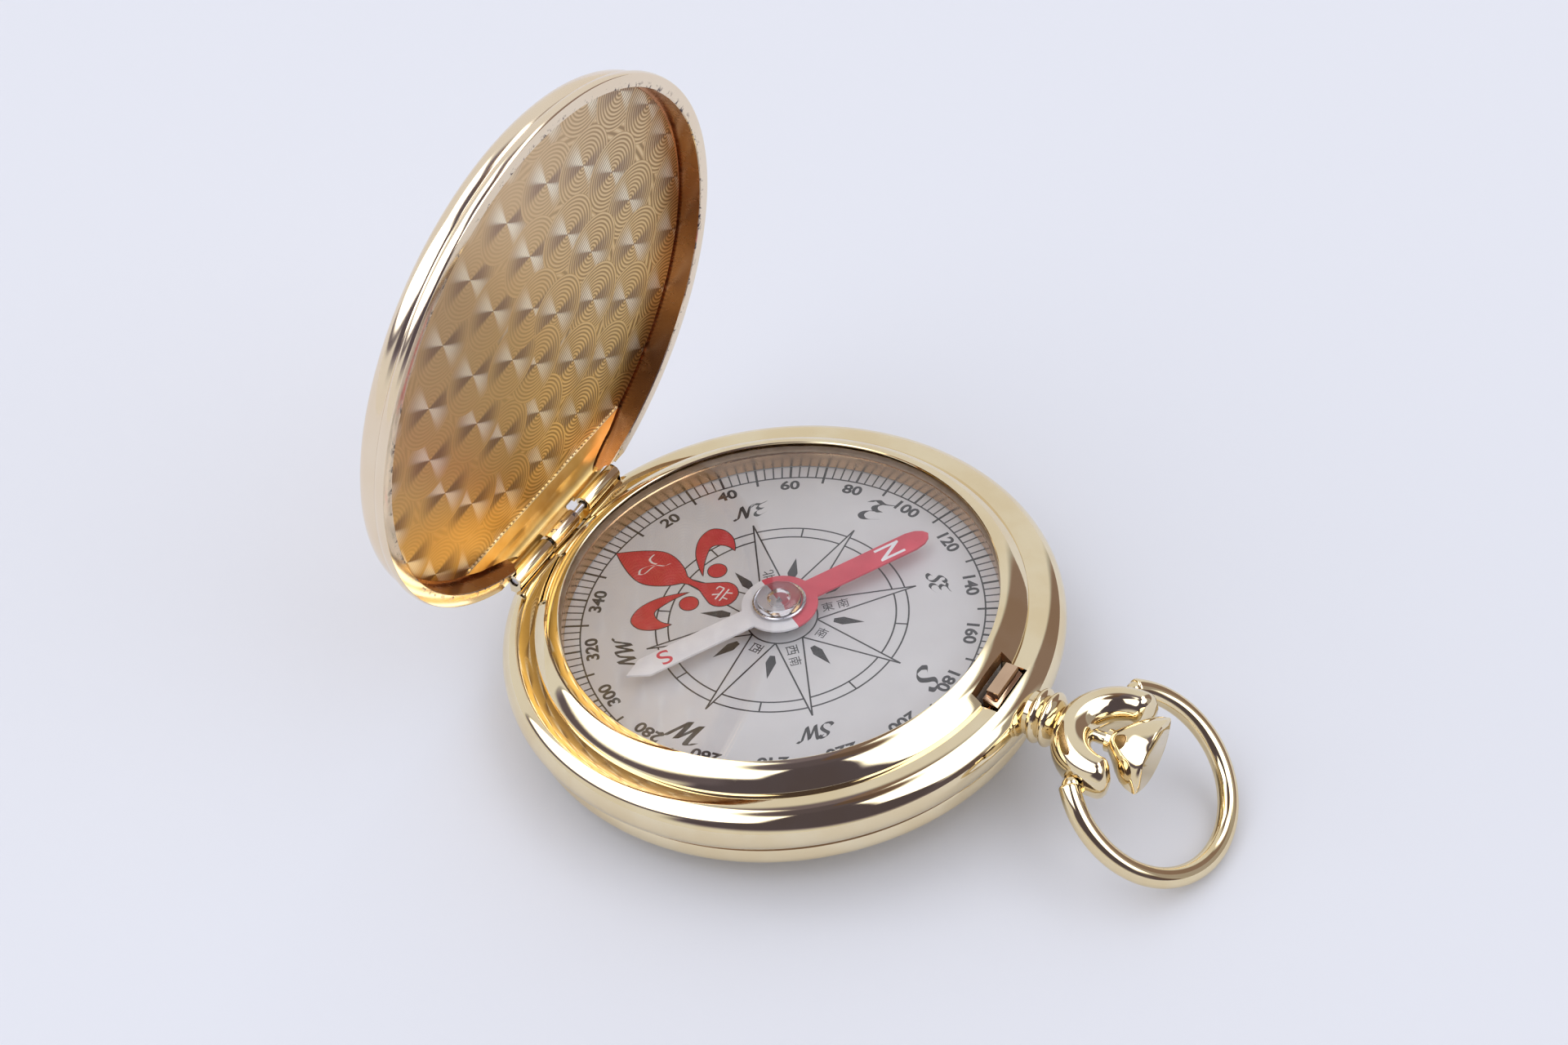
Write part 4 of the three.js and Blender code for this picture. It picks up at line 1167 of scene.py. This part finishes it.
for material, names in (
    (CARD, ["dial"]),
    (CUP, ["compass_cup", "cup_spacer"]),
    (RUBBER, ["crystal_gasket"]),
    (BRASS, ["pivot_post"]),
    (CASE_GOLD, ["crown_stem"]),
    (FERRITE, ["needle_magnet"]),
    # The catch spring in the same tan steel, a painted reflection of the gold
    (CATCH_STEEL_GOLD_REFLECTION, ["catch_spring"]),
    (STEEL, ["pivot_point", "lift_spring", "catch_screw", "lift_screw", "hinge_pin"]),
):
    for name in names:
        mesh = frame["nodes"][name].data
        mesh.materials.clear()
        mesh.materials.append(material)


# Floor, light and camera, as fitted to the photograph

PALE = rgb(0.80, 0.82, 0.92)
VIEW_ANGLES = (37.1668, 43.6002, -8.5111)
VIEW_DISTANCE = 236.6195
VIEW_ASIDE = -0.3849
VIEW_ABOVE = 11.2429
VIEW_MIDDLE = Vector((0, 0, 1.5))
FOCAL_PIXELS = 3599.0868
PHOTO_PIXELS = 1920
SENSOR_WIDTH = 36
BOX_LIGHT = 3.2
SOFT_SHARE = 0.27
SOFT_FILL = 0.62


def floor():
    bm = bmesh.new()
    bmesh.ops.create_grid(bm, x_segments=1, y_segments=1, size=2)
    mesh = meshed(bm, "floor")
    material, paint = finish("floor_paper")
    cloud = paint.noise(paint.node("TexCoord", output="Object"), 6.0, 2.0)
    paint.surface(
        Base_Color=paint.mix(cloud, rgb(0.79, 0.805, 0.875), rgb(0.80, 0.815, 0.885)),
        Roughness=0.9,
        Specular_IOR_Level=0.1,
    )
    mesh.materials.append(material)
    made = shown("floor", mesh)


def camera():
    """The photograph's view, worked out on the case and then tilted with it."""
    bearing, height, roll = (math.radians(angle) for angle in VIEW_ANGLES)
    flat = math.cos(height)
    away = Vector((math.sin(bearing) * flat, -math.cos(bearing) * flat, math.sin(height)))
    level = Vector((math.cos(bearing), math.sin(bearing), 0))
    rise = away.cross(level)
    side = level * math.cos(roll) + rise * math.sin(roll)
    top = rise * math.cos(roll) - level * math.sin(roll)
    eye = away * VIEW_DISTANCE + side * VIEW_ASIDE + top * VIEW_ABOVE + VIEW_MIDDLE
    lens = bpy.data.cameras.new("camera")
    lens.sensor_width = SENSOR_WIDTH
    lens.lens = FOCAL_PIXELS / PHOTO_PIXELS * SENSOR_WIDTH
    lens.clip_start = 0.01
    made = shown("camera", lens)
    facing = Matrix((side, top, away)).transposed().to_4x4()
    made.matrix_world = Matrix.Translation(CASE @ eye) @ turn @ facing
    scene.camera = made
    return turn.to_3x3() @ away


def studio(toward):
    """Soft boxes to both sides and behind, a pale back wall and a dark front, all by direction in degrees."""
    world = bpy.data.worlds.new("studio")
    scene.world = world
    world.use_nodes = True
    paint = Paint(world.node_tree)
    front = Vector((toward.x, toward.y, 0)).normalized()
    upright = Vector((0, 0, 1))
    facing = paint.node("TexCoord", output="Generated")
    dots = []
    for axis in (front, upright.cross(front), upright):
        dots.append(paint.node("VectorMath", {0: facing, 1: axis}, "Value", operation="DOT_PRODUCT"))
    degrees = 180 / math.pi
    around = paint.maths("ARCTAN2", dots[1], dots[0]) * degrees
    height = paint.maths("ARCSINE", dots[2]) * degrees

    def between(value, low, high, soft):
        return paint.ramped(value, low - soft, low + soft) * paint.ramped(value, high + soft, high - soft)

    front_low = paint.ramped(around, -30, 45, 18.0, 0.0)
    left_low = paint.ramped(around, -119, -111, 45.0, 14.0) + paint.ramped(around, -111, -20, 0.0, 37.0)
    right_low = paint.ramped(around, 28, 62, 47.0, 25.0) + paint.ramped(around, 76, 90, 0.0, 16.0)
    top = paint.ramped(height, 78, 71)
    front_dark = between(around, -50, 52, 5) * paint.ramped(height - front_low, -8, 8)
    left_band = between(around, -113, -38, 5) * between(height - left_low, -9, 0, 2)
    right_band = between(around, 44, 70, 4) * between(height, 0, 21, 2)
    right_dim = between(around, 70, 97, 4) * paint.ramped(height, 42, 34)
    right_gap = between(around, 97, 142, 5) * between(height, -8, 49, 3)
    left_box = between(around, -152, -26, 5) * paint.ramped(height - left_low, -3, 3) * top
    right_box = between(around, 30, 94, 4) * paint.ramped(height - right_low, -3, 3) * top
    back_box = between(around, 90, 160, 5) * paint.ramped(height, 50, 56) * top
    overhead = paint.ramped(height, 77, 82)
    light = paint.ramped(height, 52, 66, 0.8, 0.2)
    for zone, level in (
        (front_dark, 0.1),
        (left_band, 0.14),
        (right_band, 0.12),
        (right_dim, 0.4),
        (right_gap, 0.24),
        (left_box, BOX_LIGHT),
        (right_box, BOX_LIGHT),
        (back_box, BOX_LIGHT),
        (overhead, 0.12),
    ):
        light = paint.either(zone, light, level)
    mirrored = paint.node("LightPath", output="Is Glossy Ray")
    dark = paint.ramped(light, 0.5, 0.15)
    shade = paint.mix(paint.ramped(around, 48, 72), rgb(0.95, 0.82, 1.15), rgb(1.15, 0.80, 0.72))
    tone = paint.mix(dark * mirrored, rgb(0.985, 0.99, 1.02), shade)
    light = paint.either(mirrored, light * SOFT_SHARE + SOFT_FILL, light)
    tint = paint.node("Background", {"Color": tone, "Strength": light})
    plain = paint.node("Background", {"Color": PALE, "Strength": 1.0})
    seen = paint.node("LightPath", output="Is Camera Ray")
    through = paint.node("LightPath", output="Is Transmission Ray")
    straight = paint.maths("MAXIMUM", seen, through)
    paint.output("World", paint.node("MixShader", {0: straight, 1: tint, 2: plain}))


floor()
studio(camera())
